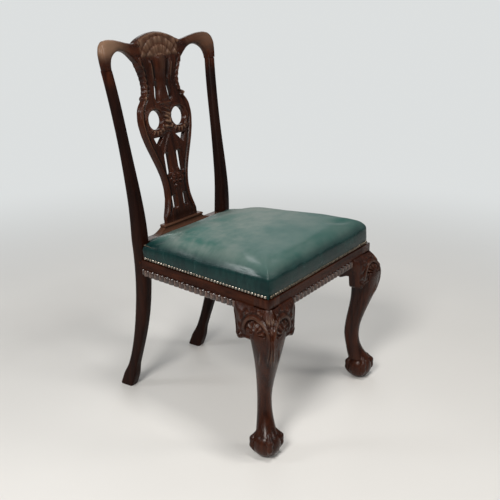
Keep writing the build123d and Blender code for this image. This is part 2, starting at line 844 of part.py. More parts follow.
with BuildPart() as knee_bracket_side_left:
    add(knee_bracket(left_face, front_leg_left.part))

with BuildPart() as knee_bracket_side_right:
    mirror(knee_bracket_side_left.part, about=Plane.YZ)

finish(knee_bracket_front_left.part, "knee_bracket_front_left")
finish(knee_bracket_front_right.part, "knee_bracket_front_right")
finish(knee_bracket_side_left.part, "knee_bracket_side_left")
finish(knee_bracket_side_right.part, "knee_bracket_side_right")

# Gadrooned strips: a row of lobes under each rail that shows


def gadroon(face, start, end):
    lobes = round((end - start) / gadroon_pitch)
    pitch = (end - start) / lobes
    crest, valley = -gadroon_setback, -gadroon_setback - gadroon_bulge
    plan = Plane(origin=face.origin, x_dir=face.x_dir, z_dir=(0, 0, -1))
    profile = Plane(origin=face.origin, x_dir=face.z_dir, z_dir=face.x_dir)
    with BuildPart(mode=Mode.PRIVATE) as strip:
        with BuildSketch(plan):
            with BuildLine():
                for lobe in range(lobes):
                    near = start + lobe * pitch
                    ThreePointArc((near, valley), (near + pitch / 2, crest), (near + pitch, valley))
                Polyline((end, valley), (end, -gadroon_depth), (start, -gadroon_depth), (start, valley))
            make_face()
        extrude(amount=gadroon_height)
        with BuildSketch(profile):
            Polygon(
                (0, 0),
                (0, 0.45 * gadroon_height),
                (gadroon_foot - gadroon_depth, gadroon_height),
                (-gadroon_depth, gadroon_height),
                (-gadroon_depth, 0),
                align=None,
            )
        extrude(amount=end, mode=Mode.INTERSECT)
    return strip.part


gadroon_start = knee_bracket_length + glue_gap

with BuildPart() as gadroon_front:
    add(gadroon(front_face, gadroon_start, front_width - gadroon_start))

with BuildPart() as gadroon_left:
    add(gadroon(left_face, gadroon_start, side_rail_end))
    add(post_blank.part, mode=Mode.SUBTRACT)

with BuildPart() as gadroon_right:
    mirror(gadroon_left.part, about=Plane.YZ)

finish(gadroon_front.part, "gadroon_front")
finish(gadroon_left.part, "gadroon_left")
finish(gadroon_right.part, "gadroon_right")

# Corner blocks and their screws, and the pegs through the side rails' rear tenons

with BuildPart() as corner_block_front_left:
    with BuildSketch(Plane.XY.offset(corner_block_bottom)):
        Polygon(*front_block_outline, align=None)
    extrude(amount=corner_block_height)
    add(screw(front_screw, glue_gap), mode=Mode.SUBTRACT)

with BuildPart() as corner_block_rear_left:
    with BuildSketch(Plane.XY.offset(corner_block_bottom)):
        Polygon(*rear_block_outline, align=None)
    extrude(amount=corner_block_height)
    add(post_blank.part, mode=Mode.SUBTRACT)
    add(screw(rear_screw, glue_gap), mode=Mode.SUBTRACT)

with BuildPart() as corner_block_front_right:
    mirror(corner_block_front_left.part, about=Plane.YZ)

with BuildPart() as corner_block_rear_right:
    mirror(corner_block_rear_left.part, about=Plane.YZ)

with BuildPart() as corner_block_screws:
    add(screw(front_screw, 0))
    add(screw(rear_screw, 0))
    mirror(about=Plane.YZ)

with BuildPart() as tenon_pegs:
    add(peg(0))
    mirror(about=Plane.YZ)

finish(corner_block_front_left.part, "corner_block_front_left")
finish(corner_block_front_right.part, "corner_block_front_right")
finish(corner_block_rear_left.part, "corner_block_rear_left")
finish(corner_block_rear_right.part, "corner_block_rear_right")
finish(corner_block_screws.part, "corner_block_screws")
finish(tenon_pegs.part, "tenon_pegs")

# Seat: webbing and hessian across the frame, stuffing, and a leather cover drawn over all of it

leather_inset = rebate_depth - soft_gap - leather_thickness
seat_rear = shoe_front - soft_gap
skirt_top = lip_top + leather_skirt
seat_crown = skirt_top + seat_shoulder + seat_crown_rise
webbing_rear = seat_rear - leather_thickness - soft_gap
cross_webbing_bottom = rail_top + webbing_thickness + soft_gap
hessian_bottom = cross_webbing_bottom + webbing_thickness + soft_gap
stuffing_bottom = hessian_bottom + hessian_thickness + soft_gap
seat_middle_y = (front_y + leather_inset + seat_rear) / 2
seat_notch_x = post_centre(rail_top)[0] - post_size(rail_top)[0] / 2 - soft_gap


def seat_corners(inset):
    # The seat in plan, drawn in by an inset from the rails' faces.
    front, rear = front_y + inset, seat_rear - inset + leather_inset
    front_x, rear_x = side_x(front, inset), side_x(rear, inset)
    return [(-front_x, front), (front_x, front), (rear_x, rear), (-rear_x, rear)]


def seat_hump(plane, near, middle, far, depth, length):
    # A bar with the seat's outline in one direction: upright edges, rounded shoulders and a low crown.
    radius = seat_shoulder - depth
    edge = skirt_top - depth
    with BuildPart(mode=Mode.PRIVATE) as hump:
        with BuildSketch(plane):
            with BuildLine():
                rise = TangentArc((near, edge), (near + radius, edge + radius), tangent=(0, 1))
                crown = ThreePointArc(rise @ 1, (middle, seat_crown - depth), (far - radius, edge + radius))
                fall = TangentArc((far, edge), (far - radius, edge + radius), tangent=(0, 1))
                Polyline(fall @ 0, (far, rail_bottom), (near, rail_bottom), rise @ 0)
            make_face()
        extrude(amount=length, both=True)
    return hump.part


def seat_form(depth):
    # Everything under the seat's surface at a depth inside it, with room left for the posts.
    inset = leather_inset + depth
    notch_x, notch_y = seat_notch_x - depth, post_front_y - soft_gap - depth
    corner = left_face.origin - Vector(0, 0, rail_bottom)
    across = Plane(origin=corner, x_dir=-left_face.z_dir, z_dir=left_face.x_dir)
    with BuildPart(mode=Mode.PRIVATE) as form:
        with BuildSketch(Plane.XY.offset(rail_bottom)):
            Polygon(*seat_corners(inset), align=None)
            fillet(vertices(), leather_corner + rebate_depth - inset)
        extrude(amount=seat_crown - rail_bottom)
        front_to_rear = seat_hump(
            Plane.YZ, front_y + inset, seat_middle_y, seat_rear - depth, depth, front_width
        )
        left_side = seat_hump(across, inset, front_half, front_width - inset, depth, chair_depth)
        add(front_to_rear, mode=Mode.INTERSECT)
        add(left_side, mode=Mode.INTERSECT)
        add(mirror(left_side, about=Plane.YZ, mode=Mode.PRIVATE), mode=Mode.INTERSECT)
        with BuildSketch(Plane.XY.offset(rail_bottom)):
            for side in (1, -1):
                Polygon(
                    (side * notch_x, notch_y),
                    (side * front_half, notch_y),
                    (side * front_half, shoe_back),
                    (side * notch_x, shoe_back),
                    align=None,
                )
        extrude(amount=seat_crown - rail_bottom, mode=Mode.SUBTRACT)
    return form.part


with BuildPart() as webbing_lengthwise:
    webbing_length = webbing_rear - front_y - webbing_setback
    with BuildSketch(Plane.XY.offset(rail_top)):
        with Locations((0, webbing_rear - webbing_length / 2)):
            with GridLocations(webbing_pitch, 1, 3, 1):
                Rectangle(webbing_width, webbing_length)
    extrude(amount=webbing_thickness)

with BuildPart() as webbing_crosswise:
    webbing_middle = (front_y + webbing_rear) / 2
    with BuildSketch(Plane.XY.offset(cross_webbing_bottom)):
        for row in (-1.5, -0.5, 0.5, 1.5):
            near = webbing_middle + row * webbing_pitch - webbing_width / 2
            far = near + webbing_width
            near_x, far_x = side_x(near, webbing_setback), side_x(far, webbing_setback)
            Polygon((-near_x, near), (near_x, near), (far_x, far), (-far_x, far), align=None)
    extrude(amount=webbing_thickness)

with BuildPart() as hessian:
    near, far = front_y + webbing_setback, post_front_y - webbing_setback
    near_x, far_x = side_x(near, webbing_setback), side_x(far, webbing_setback)
    with BuildSketch(Plane.XY.offset(hessian_bottom)):
        Polygon((-near_x, near), (near_x, near), (far_x, far), (-far_x, far), align=None)
    extrude(amount=hessian_thickness)

with BuildPart() as seat_stuffing:
    add(seat_form(leather_thickness + soft_gap))
    split(bisect_by=Plane.XY.offset(stuffing_bottom), keep=Keep.TOP)

with BuildPart() as leather_cover:
    add(seat_form(0))
    add(seat_form(leather_thickness), mode=Mode.SUBTRACT)
    split(bisect_by=Plane.XY.offset(lip_top + soft_gap), keep=Keep.TOP)
    with BuildSketch(Plane.XY.offset(rail_bottom)):
        Polygon(*seat_corners(leather_inset + leather_thickness), align=None)
        with Locations((0, shoe_back)):
            Rectangle(front_width, 2 * (shoe_back - rear_rail_front + soft_gap))
    extrude(amount=rail_height + soft_gap, mode=Mode.SUBTRACT)

finish(webbing_lengthwise.part, "webbing_lengthwise")
finish(webbing_crosswise.part, "webbing_crosswise")
finish(hessian.part, "hessian")
finish(seat_stuffing.part, "seat_stuffing")
finish(leather_cover.part, "leather_cover")

# Close nailing along the leather's lower edge

nail_height = lip_top + nail_above_lip
nail_margin = leather_corner + leather_thickness + nail_radius
front_row = 2 * (side_x(front_y + leather_inset, leather_inset) - nail_margin)
side_row_start = leather_inset + nail_margin
side_row = side_rail_shoulder - side_row_start - nail_radius - leather_thickness
side_row_middle = side_point(side_row_start + side_row / 2, leather_inset)
front_nail_plane = Plane(
    origin=(0, front_y + leather_inset, nail_height), x_dir=front_face.x_dir, z_dir=front_face.z_dir
)
left_nail_plane = Plane(
    origin=(*side_row_middle, nail_height), x_dir=left_face.x_dir, z_dir=left_face.z_dir
)

with BuildPart() as nails_front:
    with BuildSketch(front_nail_plane):
        with GridLocations(nail_pitch, 1, int(front_row / nail_pitch) + 1, 1):
            RegularPolygon(nail_radius, 6)
    extrude(amount=nail_rise)

with BuildPart() as nails_left:
    with BuildSketch(left_nail_plane):
        with GridLocations(nail_pitch, 1, int(side_row / nail_pitch) + 1, 1):
            RegularPolygon(nail_radius, 6)
    extrude(amount=nail_rise)

with BuildPart() as nails_right:
    mirror(nails_left.part, about=Plane.YZ)

finish(nails_front.part, "nails_front")
finish(nails_left.part, "nails_left")
finish(nails_right.part, "nails_right")
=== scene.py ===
import math

import bmesh
import bpy
import numpy as np
from numpy import array, concatenate, cos, hypot, linspace, pi, sin, where
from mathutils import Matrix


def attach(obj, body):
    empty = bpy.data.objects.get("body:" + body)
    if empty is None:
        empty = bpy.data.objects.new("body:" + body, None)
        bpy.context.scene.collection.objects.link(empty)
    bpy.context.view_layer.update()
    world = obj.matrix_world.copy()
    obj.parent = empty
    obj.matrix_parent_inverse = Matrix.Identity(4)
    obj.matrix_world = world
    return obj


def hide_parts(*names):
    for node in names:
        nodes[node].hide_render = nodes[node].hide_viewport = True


# A carved dining chair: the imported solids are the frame, and the carved, soft and small pieces are made here.
# The scene is in metres, +Z is up, the chair faces -Y and +X is the sitter's left. The meshes are made in mm.

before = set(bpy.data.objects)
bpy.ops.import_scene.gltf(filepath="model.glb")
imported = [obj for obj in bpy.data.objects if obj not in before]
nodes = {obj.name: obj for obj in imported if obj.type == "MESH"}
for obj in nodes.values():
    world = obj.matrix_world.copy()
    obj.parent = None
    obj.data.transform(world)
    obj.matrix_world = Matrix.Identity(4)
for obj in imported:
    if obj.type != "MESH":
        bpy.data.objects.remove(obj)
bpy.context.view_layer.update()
mm = 0.001
print("frame loaded:", len(nodes), "nodes")


# Shader maths as Python: a Shade holds one socket, and an expression on it adds Math nodes.
class Shade:
    def __init__(self, tree, socket=None):
        self.tree = tree
        self.socket = socket

    def plug(self, socket, value):
        # Links a Shade to the socket, or sets a plain value on it.
        if isinstance(value, Shade):
            self.tree.links.new(value.socket, socket)
        else:
            socket.default_value = value

    def node(self, kind, settings=None, inputs=None, output=0):
        made = self.tree.nodes.new("ShaderNode" + kind)
        for name, value in (settings or {}).items():
            setattr(made, name, value)
        for name, value in (inputs or {}).items():
            self.plug(made.inputs[name], value)
        return Shade(self.tree, made.outputs[output])

    def dress(self, sockets):
        # Fills sockets of the material's own shader.
        shader = self.tree.nodes["Principled BSDF"]
        for name, value in sockets.items():
            self.plug(shader.inputs[name], value)

    def math(self, operation, first, second):
        return self.node("Math", {"operation": operation}, {0: first, 1: second})

    def __add__(self, other):
        return self.math("ADD", self, other)

    __radd__ = __add__

    def __sub__(self, other):
        return self.math("SUBTRACT", self, other)

    def __rsub__(self, other):
        return self.math("SUBTRACT", other, self)

    def __mul__(self, other):
        return self.math("MULTIPLY", self, other)

    __rmul__ = __mul__

    def ramp(self, low, high):
        # 0 below low, 1 above high, and smooth between.
        settings = {"interpolation_type": "SMOOTHSTEP"}
        return self.node("MapRange", settings, {"Value": self, "From Min": low, "From Max": high})

    def blend(self, first, second):
        # A colour mixed from first to second by this value.
        return self.node("Mix", {"data_type": "RGBA"}, {0: self, 6: first, 7: second}, 2)

    def noise(self, place, scale, detail, rough, squeeze=None):
        # Noise at a scale, and squeezed closer on the axes with a number above 1.
        if squeeze:
            place = self.node("Mapping", None, {"Vector": place, "Scale": squeeze})
        inputs = {"Vector": place, "Scale": scale, "Detail": detail, "Roughness": rough}
        return self.node("TexNoise", None, inputs)

    def relief(self, height, strength, distance):
        # A normal bumped by a height.
        return self.node("Bump", None, {"Height": height, "Strength": strength, "Distance": distance})


def newMaterial(name):
    # A new material, its starting Shade and the object's own coordinates.
    material = bpy.data.materials.new(name)
    material.use_nodes = True
    shade = Shade(material.node_tree)
    return material, shade, shade.node("TexCoord", None, None, 3)


mahogany = dict(
    dark=(0.0022, 0.0008, 0.0007, 1),
    middle=(0.013, 0.0034, 0.0018, 1),
    light=(0.046, 0.0125, 0.0054, 1),
    # pale colour for rubbed wood, also used for painted highlights
    rubbedAndPaintedLight=(0.215, 0.128, 0.082, 1),
    roughness=0.17,
)


def makeMahogany(name, along, worn=0.0, shine=0.06):
    # Long figure and short pores that run along one axis, darker in the hollows as painted shade, and paler
    # where hands rub and where a highlight is painted on raised carving.
    material, shade, place = newMaterial(name)
    across = [1 if axis == along else 14 for axis in range(3)]
    poreAcross = [1 if axis == along else 26 for axis in range(3)]
    figure = shade.noise(place, 5.5, 5, 0.6, across)
    pores = shade.noise(place, 46, 2, 0.5, poreAcross).ramp(0.57, 0.7)
    cloud = shade.noise(place, 9, 2, 0.5)
    # The point attribute holds rub and painted light: wear and painted highlight above zero, painted shade
    # below.
    rubAndPaintedLight = shade.node("Attribute", {"attribute_name": "rubAndPaintedLight"}, None, 2) + worn
    tone = (figure * 0.65 + cloud * 0.35).ramp(0.34, 0.66)
    colour = tone.blend(mahogany["middle"], mahogany["light"])
    colour = (pores * 0.6).blend(colour, mahogany["dark"])
    # Below zero the wood is painted darker, which is painted shade in the hollows of carving; above zero it is
    # blended to the pale colour as wear and painted highlight.
    hollow = (0 - rubAndPaintedLight).ramp(0.0, 1.0)
    wearAndSheen = (rubAndPaintedLight * (0.7 + cloud * 0.6)).ramp(0.15, 1.0)
    colour = (hollow * 0.85).blend(colour, mahogany["dark"])
    colour = (wearAndSheen * 0.8).blend(colour, mahogany["rubbedAndPaintedLight"])
    height = figure * 0.25 - pores * 0.5 + shade.noise(place, 34, 2, 0.5) * 0.9
    shade.dress({
        "Base Color": colour,
        "Roughness": mahogany["roughness"] + cloud * 0.14 + hollow * 0.2,
        "Specular IOR Level": shine,
        "Normal": shade.relief(height, 0.3, 0.0008),
    })
    return material


def makeBeech():
    # Bare secondary wood, for the corner blocks.
    material, shade, place = newMaterial("bareBeech")
    grain = shade.noise(place, 18, 4, 0.6, (1, 1, 16))
    flecks = shade.noise(place, 260, 1, 0.4, (1, 1, 8)).ramp(0.6, 0.72)
    colour = grain.ramp(0.3, 0.7).blend((0.30, 0.19, 0.105, 1), (0.44, 0.30, 0.18, 1))
    shade.dress({
        "Base Color": (flecks * 0.5).blend(colour, (0.2, 0.115, 0.06, 1)),
        "Roughness": 0.55 + grain * 0.2,
        "Normal": shade.relief(grain, 0.25, 0.0006),
    })
    return material


def makeMetal(name, clean, dull, shine):
    # A small metal piece, rubbed bright in places and dulled by handling.
    material, shade, place = newMaterial(name)
    tarnish = shade.noise(place, 130, 3, 0.6).ramp(0.42, 0.66)
    shade.dress({
        "Base Color": tarnish.blend(clean, dull),
        "Roughness": shine + tarnish * 0.25,
        "Metallic": 1.0,
        "Normal": shade.relief(shade.noise(place, 900, 1, 0.5), 0.15, 0.0003),
    })
    return material


def setMaterial(target, material):
    target.data.materials.clear()
    target.data.materials.append(material)


grainX = makeMahogany("mahoganyAcross", 0)
grainY = makeMahogany("mahoganyLengthwise", 1)
grainZ = makeMahogany("mahoganyUpright", 2, shine=0.08)
carvedX = makeMahogany("mahoganyCarvedAcross", 0, shine=0.14)
carvedZ = makeMahogany("mahoganyCarvedUpright", 2, shine=0.17)
lobedX = makeMahogany("mahoganyLobesAcross", 0, shine=0.9)
lobedY = makeMahogany("mahoganyLobesLengthwise", 1, shine=0.9)
dusty = makeMahogany("mahoganyWorn", 0, worn=0.37, shine=0.1)
beech = makeBeech()
brass = makeMetal("rubbedBrass", (0.42, 0.38, 0.33, 1), (0.12, 0.09, 0.06, 1), 0.24)
# A darker copy of the brass for the front row of nails: painted shade on that face.
brassPaintedInShade = makeMetal("brassWithPaintedShade", (0.19, 0.16, 0.125, 1), (0.06, 0.045, 0.03, 1), 0.32)
steel = makeMetal("dullSteel", (0.42, 0.42, 0.41, 1), (0.16, 0.14, 0.12, 1), 0.4)

# Solids that stay in sight, besides the beech corner blocks; the others are replaced further down
finishes = {
    "splat_shoe": dusty, "rear_rail": dusty, "front_rail": grainX, "side_rail_left": grainY,
    "side_rail_right": grainY, "tenon_pegs": grainX, "corner_block_screws": steel,
}
for name, node in nodes.items():
    setMaterial(node, finishes.get(name, beech if name.startswith("corner_block") else grainZ))
print("solids finished")


# Mesh helpers. A skin is a list of points in mm and the faces that join them.
def unit(value):
    return np.clip(value, 0, 1)


def smooth(low, high, value):
    # 0 at low, 1 at high, an S-curve between and level beyond; low may be the larger.
    share = unit((value - low) / (high - low))
    return share * share * (3 - 2 * share)


def bump(value, middle, width):
    # A rounded ridge of height 1 at middle that is gone at width to each side.
    return cos(np.clip((value - middle) / width, -1, 1) * pi / 2) ** 2


def powered(value, power):
    # A power that keeps the sign: on a cosine and a sine it turns a circle into a rounded square.
    return np.sign(value) * np.abs(value) ** power


def fallAway(share):
    # Drop of a rounded edge: 1 at the edge, and 0 where its round ends.
    return 1 - np.sqrt(1 - (1 - share) ** 2)


def around(count):
    # Angles spread evenly over one turn.
    return linspace(0, 2 * pi, count, endpoint=False)


def softCurve(knots, places, reach):
    # Values at places from straight lines through the knots, evened out over a short reach.
    knots = array(knots, float)
    offsets = linspace(-1, 1, 15)
    weights = cos(offsets * pi / 2) ** 2
    samples = np.interp(places[..., None] + offsets * reach, knots[:, 0], knots[:, 1])
    return (samples * weights).sum(-1) / weights.sum()


def xyz(x, y, z):
    # Points from three arrays spread to one shape.
    return np.stack(np.broadcast_arrays(x, y, z), -1)


def beside(*grids):
    # Grids joined row by row.
    return concatenate(grids, 1)


def gridFaces(rows, places, closed):
    # Quads between neighbouring rows, joined round into a ring where closed.
    row = np.arange(rows - 1)[:, None] * places
    here = np.arange(places if closed else places - 1)[None, :]
    there = (here + 1) % places
    return np.stack([row + here, row + there, row + places + there, row + places + here], -1).reshape(-1, 4)


def sheetSkin(points):
    # An open skin over a grid of points.
    return points.reshape(-1, 3), gridFaces(*points.shape[:2], False).tolist()


def ringSkin(points):
    # A closed skin over rings, with a flat cap at each end.
    rows, places, _ = points.shape
    faces = gridFaces(rows, places, True).tolist()
    faces.append(list(range(places)))
    faces.append(list(range((rows - 1) * places, rows * places)))
    return points.reshape(-1, 3), faces


def mirrored(skins):
    return [(points * (-1, 1, 1), faces) for points, faces in skins]


def addObject(name, data):
    made = bpy.data.objects.new(name, data)
    bpy.context.collection.objects.link(made)
    return made


def addPiece(name, skins, rubsAndPaintedLight, material, node, crease=50):
    # One object from several skins, with the rub and painted light of each point kept for the material.
    starts = np.cumsum([0] + [len(points) for points, _ in skins])
    faces = [[corner + start for corner in face] for (_, own), start in zip(skins, starts) for face in own]
    places = concatenate([points for points, _ in skins])
    rubAndPaintedLight = np.zeros(len(places)) if rubsAndPaintedLight is None else concatenate(rubsAndPaintedLight)
    mesh = bpy.data.meshes.new(name)
    mesh.from_pydata((places * mm).tolist(), [], faces)
    mesh.attributes.new("rubAndPaintedLight", "FLOAT", "POINT").data.foreach_set("value", rubAndPaintedLight.astype(np.float32))
    tidy = bmesh.new()
    tidy.from_mesh(mesh)
    bmesh.ops.remove_doubles(tidy, verts=tidy.verts, dist=1e-6)
    bmesh.ops.recalc_face_normals(tidy, faces=tidy.faces)
    tidy.to_mesh(mesh)
    tidy.free()
    mesh.shade_smooth()
    mesh.set_sharp_from_angle(angle=math.radians(crease))
    mesh.materials.append(material)
    piece = addObject(name, mesh)
    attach(piece, "root")
    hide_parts(node)
    return piece


def addPair(name, skins, rubsAndPaintedLight, material, node):
    # The piece on the sitter's left, and mirrored on the right.
    addPiece(name + "Left", skins, rubsAndPaintedLight, material, node + "_left")
    addPiece(name + "Right", mirrored(skins), rubsAndPaintedLight, material, node + "_right")


# Places taken from the solids
seat = dict(
    frontHalf=261.8, frontY=-266.5, railBottom=384.0, lipTop=406.0, railTop=440.0,
    slant=sin(0.13859), straight=cos(0.13859),
)
back = dict(y=190.0, foot=468.0, rake=math.radians(9.5))


def sidePlan(along, out):
    # A point in plan on the left rail: distance back from the front corner, and outwards from the face.
    x = seat["frontHalf"] - along * seat["slant"] + out * seat["straight"]
    y = seat["frontY"] + along * seat["straight"] + out * seat["slant"]
    return x, y


def railPlan(along, out, front):
    # The same on the front rail or on the left one.
    if front:
        return seat["frontHalf"] - along, seat["frontY"] - out
    return sidePlan(along, out)


def onBack(x, height, forward):
    # A point of the raked back: across, height on its middle plane, and forward of that plane.
    y = back["y"] + (height - back["foot"]) * math.tan(back["rake"]) - forward * cos(back["rake"])
    return xyz(x, y, height + forward * sin(back["rake"]))


# Back posts: a rounded square section carried up a curve, squarer at the foot and softer above the seat
post = dict(
    footX=158.5, seatX=184.0, lean=20.0, flare=9.0, sweep=89.3, seatY=181.2, seatLine=451.0, joint=884.0,
    bend=74.0, softness=60.0, rows=150, sides=44,
)


def postSkin():
    z = concatenate([linspace(0, 3, 4), linspace(4, post["joint"] + 3, post["rows"])])[:, None]
    line = post["seatLine"]
    below = z / line
    above = np.clip((z - line) / (post["joint"] - line), 0, 2)
    upperX = post["seatX"] + post["lean"] * above + post["flare"] * above**5
    lowerX = post["footX"] + (post["seatX"] - post["footX"]) * below**2
    x = where(above > 0, upperX, lowerX)
    pastBend = z - line - post["bend"]
    leanBack = math.tan(back["rake"]) * (pastBend + hypot(pastBend, post["softness"])) / 2
    sweep = post["sweep"] * unit(1 - z / seat["railTop"]) ** 2
    y = post["seatY"] + sweep + leanBack * smooth(0, 1, below)
    heel = 1 - smooth(30, 75, z)
    lowerWidth = 27 + 9 * smooth(0.2, 1, below) + heel
    width = where(above > 0, 36 - 9.5 * smooth(0, 0.7, above), lowerWidth)
    lowerDepth = 28.5 + 9.5 * smooth(0.18, 0.6, below) + 13.5 * heel
    depth = where(above > 0, 38 - 12.6 * smooth(0, 0.65, above), lowerDepth)
    square = 7 - 3.2 * smooth(20, 110, z) - 0.9 * smooth(440, 560, z) - 0.2 * smooth(800, 880, z)
    sole = 1 - 0.06 * (1 - smooth(0, 3, z))
    turn = around(post["sides"])
    across, along = powered(cos(turn), 2 / square), powered(sin(turn), 2 / square)
    # The front face has a shallow hollow above the seat.
    worked = smooth(470, 560, z) * smooth(884, 830, z)
    hollow = 1.1 * worked * bump(across, 0, 0.75) * (along < 0)
    points = xyz(x + across * (width * sole / 2), y + along * (depth * sole / 2) + hollow, z)
    # Dark all the way up, and brown only just below the crest.
    rubAndPaintedLight = 0.8 * smooth(836, 884, z) - 0.16 * smooth(430, 520, z) - 0.62
    return ringSkin(points), np.broadcast_to(rubAndPaintedLight, across.shape).ravel()


skin, rubAndPaintedLight = postSkin()
addPair("backPost", [skin], [rubAndPaintedLight], grainZ, "back_post")
print("posts shaped")

# Crest rail: sections from its lower to its upper edge, rounded like a bolster at the shoulders
crest = dict(
    bow=17.7, bowAt=213.0, half=12.6, columns=420, edge=28, even=36, fan=878.0, firstRow=14.0, rowPitch=23.0,
    scroll=(83.0, 940.0),
    lower=[(0, 893), (30, 893), (60, 893), (76, 893), (88, 893), (95, 899), (104, 907), (118, 917),
           (133, 924), (149.5, 927), (163, 926), (176, 921), (187, 913), (193, 906), (198, 895),
           (199.75, 882)],
    upper=[(0, 969), (27, 966.5), (52, 960), (67, 954.5), (79, 949), (89, 943), (99, 942.5), (120, 946),
           (145, 951.5), (172, 956), (196, 957), (214, 953.5), (226, 943), (231.5, 926), (230, 903),
           (226.25, 882)],
    dome=[(0, 969), (27, 966.5), (52, 960), (79, 949), (95, 942)],
)


def crestCarving(x, z):
    # Relief on the dome, and its rub and painted light: rows of frilled leaves that fan out from its foot, a
    # rim and end scrolls, over the swell of the dome and the mouth of the trumpet. Raised carving is paler as
    # wear and painted highlight, and the hollows between leaves are darker as painted shade.
    ax = np.abs(x)
    centre = 1 - smooth(70, 92, ax)
    reach = hypot(ax, (z - crest["fan"]) * 1.05)
    turn = np.arctan2(ax, z - crest["fan"])
    row = (reach - crest["firstRow"]) / crest["rowPitch"]
    lobe = np.abs(cos(turn * 5 + np.floor(row) * pi / 2))
    leaf = lobe**0.6 * np.sqrt(row % 1) * smooth(1, 0.82, row % 1) - 0.22 * smooth(0.93, 1, lobe)
    frill = 0.2 * cos(turn * 34 + row * 3) * (row % 1)
    fromTop = np.interp(ax, *zip(*crest["dome"])) - z
    leaves = 3.0 * (leaf + frill) * smooth(16, 26, reach) * smooth(898, 912, z) * smooth(4, 10, fromTop)
    rim = 1.8 * bump(fromTop, 5, 5)
    dome = 3.0 * bump(hypot(ax / 88, (z - 934) / 48), 0, 1)
    scrollX, scrollZ = crest["scroll"]
    scrollOut = hypot(ax - scrollX, z - scrollZ)
    scroll = 4.2 * bump(scrollOut, 0, 9) - 1.4 * bump(scrollOut, 9.5, 3)
    trumpet = 3.4 * unit(1 - (ax / (31 + (z - 890) * 0.9)) ** 2) * smooth(918, 900, z)
    # The dome is paler; raised leaves, rim and scrolls paler still as wear and painted highlight, hollows
    # darker as painted shade.
    rubAndPaintedLight = centre * (0.58 * smooth(888, 912, z) + leaves / 8 + rim / 8) + 0.05 * trumpet + scroll / 8
    return centre * (leaves + rim + dome) + scroll + trumpet, rubAndPaintedLight


def crestEdge(half):
    # One edge from end to end, evened out, as a column of places across and one of heights.
    whole = concatenate([array(half[:0:-1]) * (-1, 1), half])
    step = np.arange(len(whole))
    u = linspace(0, len(whole) - 1, crest["columns"])
    return [softCurve(np.stack([step, line], -1), u, 0.55)[:, None] for line in whole.T]


def crestSkin():
    lowerX, lowerZ = crestEdge(crest["lower"])
    upperX, upperZ = crestEdge(crest["upper"])
    ax = np.abs(lowerX + upperX) / 2
    square = 2.7 + 2.4 * (1 - smooth(85, 130, ax))
    # Half a section is a superellipse, with places close together at its edges and others spread evenly for
    # the carving. The other half is the same behind.
    edgeV = 0.5 - 0.5 * powered(cos(linspace(0, pi, crest["edge"])), 2 / square)
    evenV = np.broadcast_to(linspace(0, 1, crest["even"] + 2)[1:-1], (len(ax), crest["even"]))
    v = np.sort(beside(edgeV, evenV), 1)
    deep = unit(1 - np.abs(2 * v - 1) ** square) ** (1 / square)
    deep = beside(deep, -deep[:, -2:0:-1])
    v = beside(v, v[:, -2:0:-1])
    x = lowerX * (1 - v) + upperX * v
    z = lowerZ * (1 - v) + upperZ * v
    carve, rubbedAndPaintedLight = crestCarving(x, z)
    carve = carve * smooth(0.05, 0.5, deep) * smooth(0, 0.06, 1 - v)
    forward = crest["bow"] * (x / crest["bowAt"]) ** 2 + crest["half"] * deep + carve
    # The shoulders are brown and paler where hands take the chair, partly wear and partly painted highlight;
    # the sitter's right one, towards the window light, gets the most painted highlight.
    shoulder = smooth(85, 125, np.abs(x))
    handledAndLit = smooth(900, 945, z) * smooth(115, 220, np.abs(x)) * where(x < 0, 0.95, 0.25)
    brown = 0.42 * smooth(868, 912, z)
    rubAndPaintedLight = shoulder * (brown + 0.9 * handledAndLit) * (0.35 + 0.65 * (deep > -0.5)) - 0.1
    rubAndPaintedLight = rubAndPaintedLight + (1 - shoulder) * (rubbedAndPaintedLight - 0.15) * (deep > 0)
    return ringSkin(onBack(x, z, forward)), rubAndPaintedLight.ravel()


skin, rubAndPaintedLight = crestSkin()
addPiece("crestRail", [skin], [rubAndPaintedLight], carvedX, "crest_rail")
print("crest carved")

# Splat: a middle panel and one at each side, which part round the piercings. The outline and the seam between
# panels are given as height and half width.
splat = dict(
    foot=452.0, head=914.0, half=4.5, fuller=2.4, headForward=7.2, roundness=2.6, front=44, rear=6, step=1.15,
    outline=[(452, 68.5), (471, 68.5), (482, 67), (490, 63), (510, 55), (531, 48.5), (557, 47), (575, 49),
             (593, 53), (615, 61), (629, 67), (645, 74.5), (680, 90.5), (708, 100.5), (735, 106),
             (750, 106.5), (772, 102.5), (784, 96), (795, 85), (801, 80), (812, 75), (831, 71), (845, 71.5),
             (862, 75), (876, 80), (893, 88), (900, 90), (914, 84)],
    seam=[(452, 23), (560, 23), (580, 26), (660, 26), (668, 54), (674, 54), (697, 46), (715, 48), (770, 48),
          (783, 26), (914, 26)],
    knob=(804, 6.0, 7.0),
)
# Slots with round ends: middle across, middle height, half width and half height; the last is the oval
slots = [(23, 518.2, 9, 20.7), (26, 623.1, 10.5, 32.5), (48, 743, 29, 25.2)]
slit = dict(x=26.0, middle=813.1, half=8.8, tall=29.6, sway=1.8, flare=7.0)
triangle = dict(top=697.0, tip=671.4, inner=26.0, outer=66.0, tipX=54.0)
spray = dict(rosette=572.0, leafX=19.0, leafHeight=590.0)


def slitLine(z):
    # Middle of an upper slit: an S from tip to tip, then a groove that flares to the dome.
    share = unit((z - slit["middle"]) / (2 * slit["tall"]) + 0.5)
    return slit["x"] + slit["sway"] * sin(2 * pi * share) + slit["flare"] * smooth(843, 902, z)


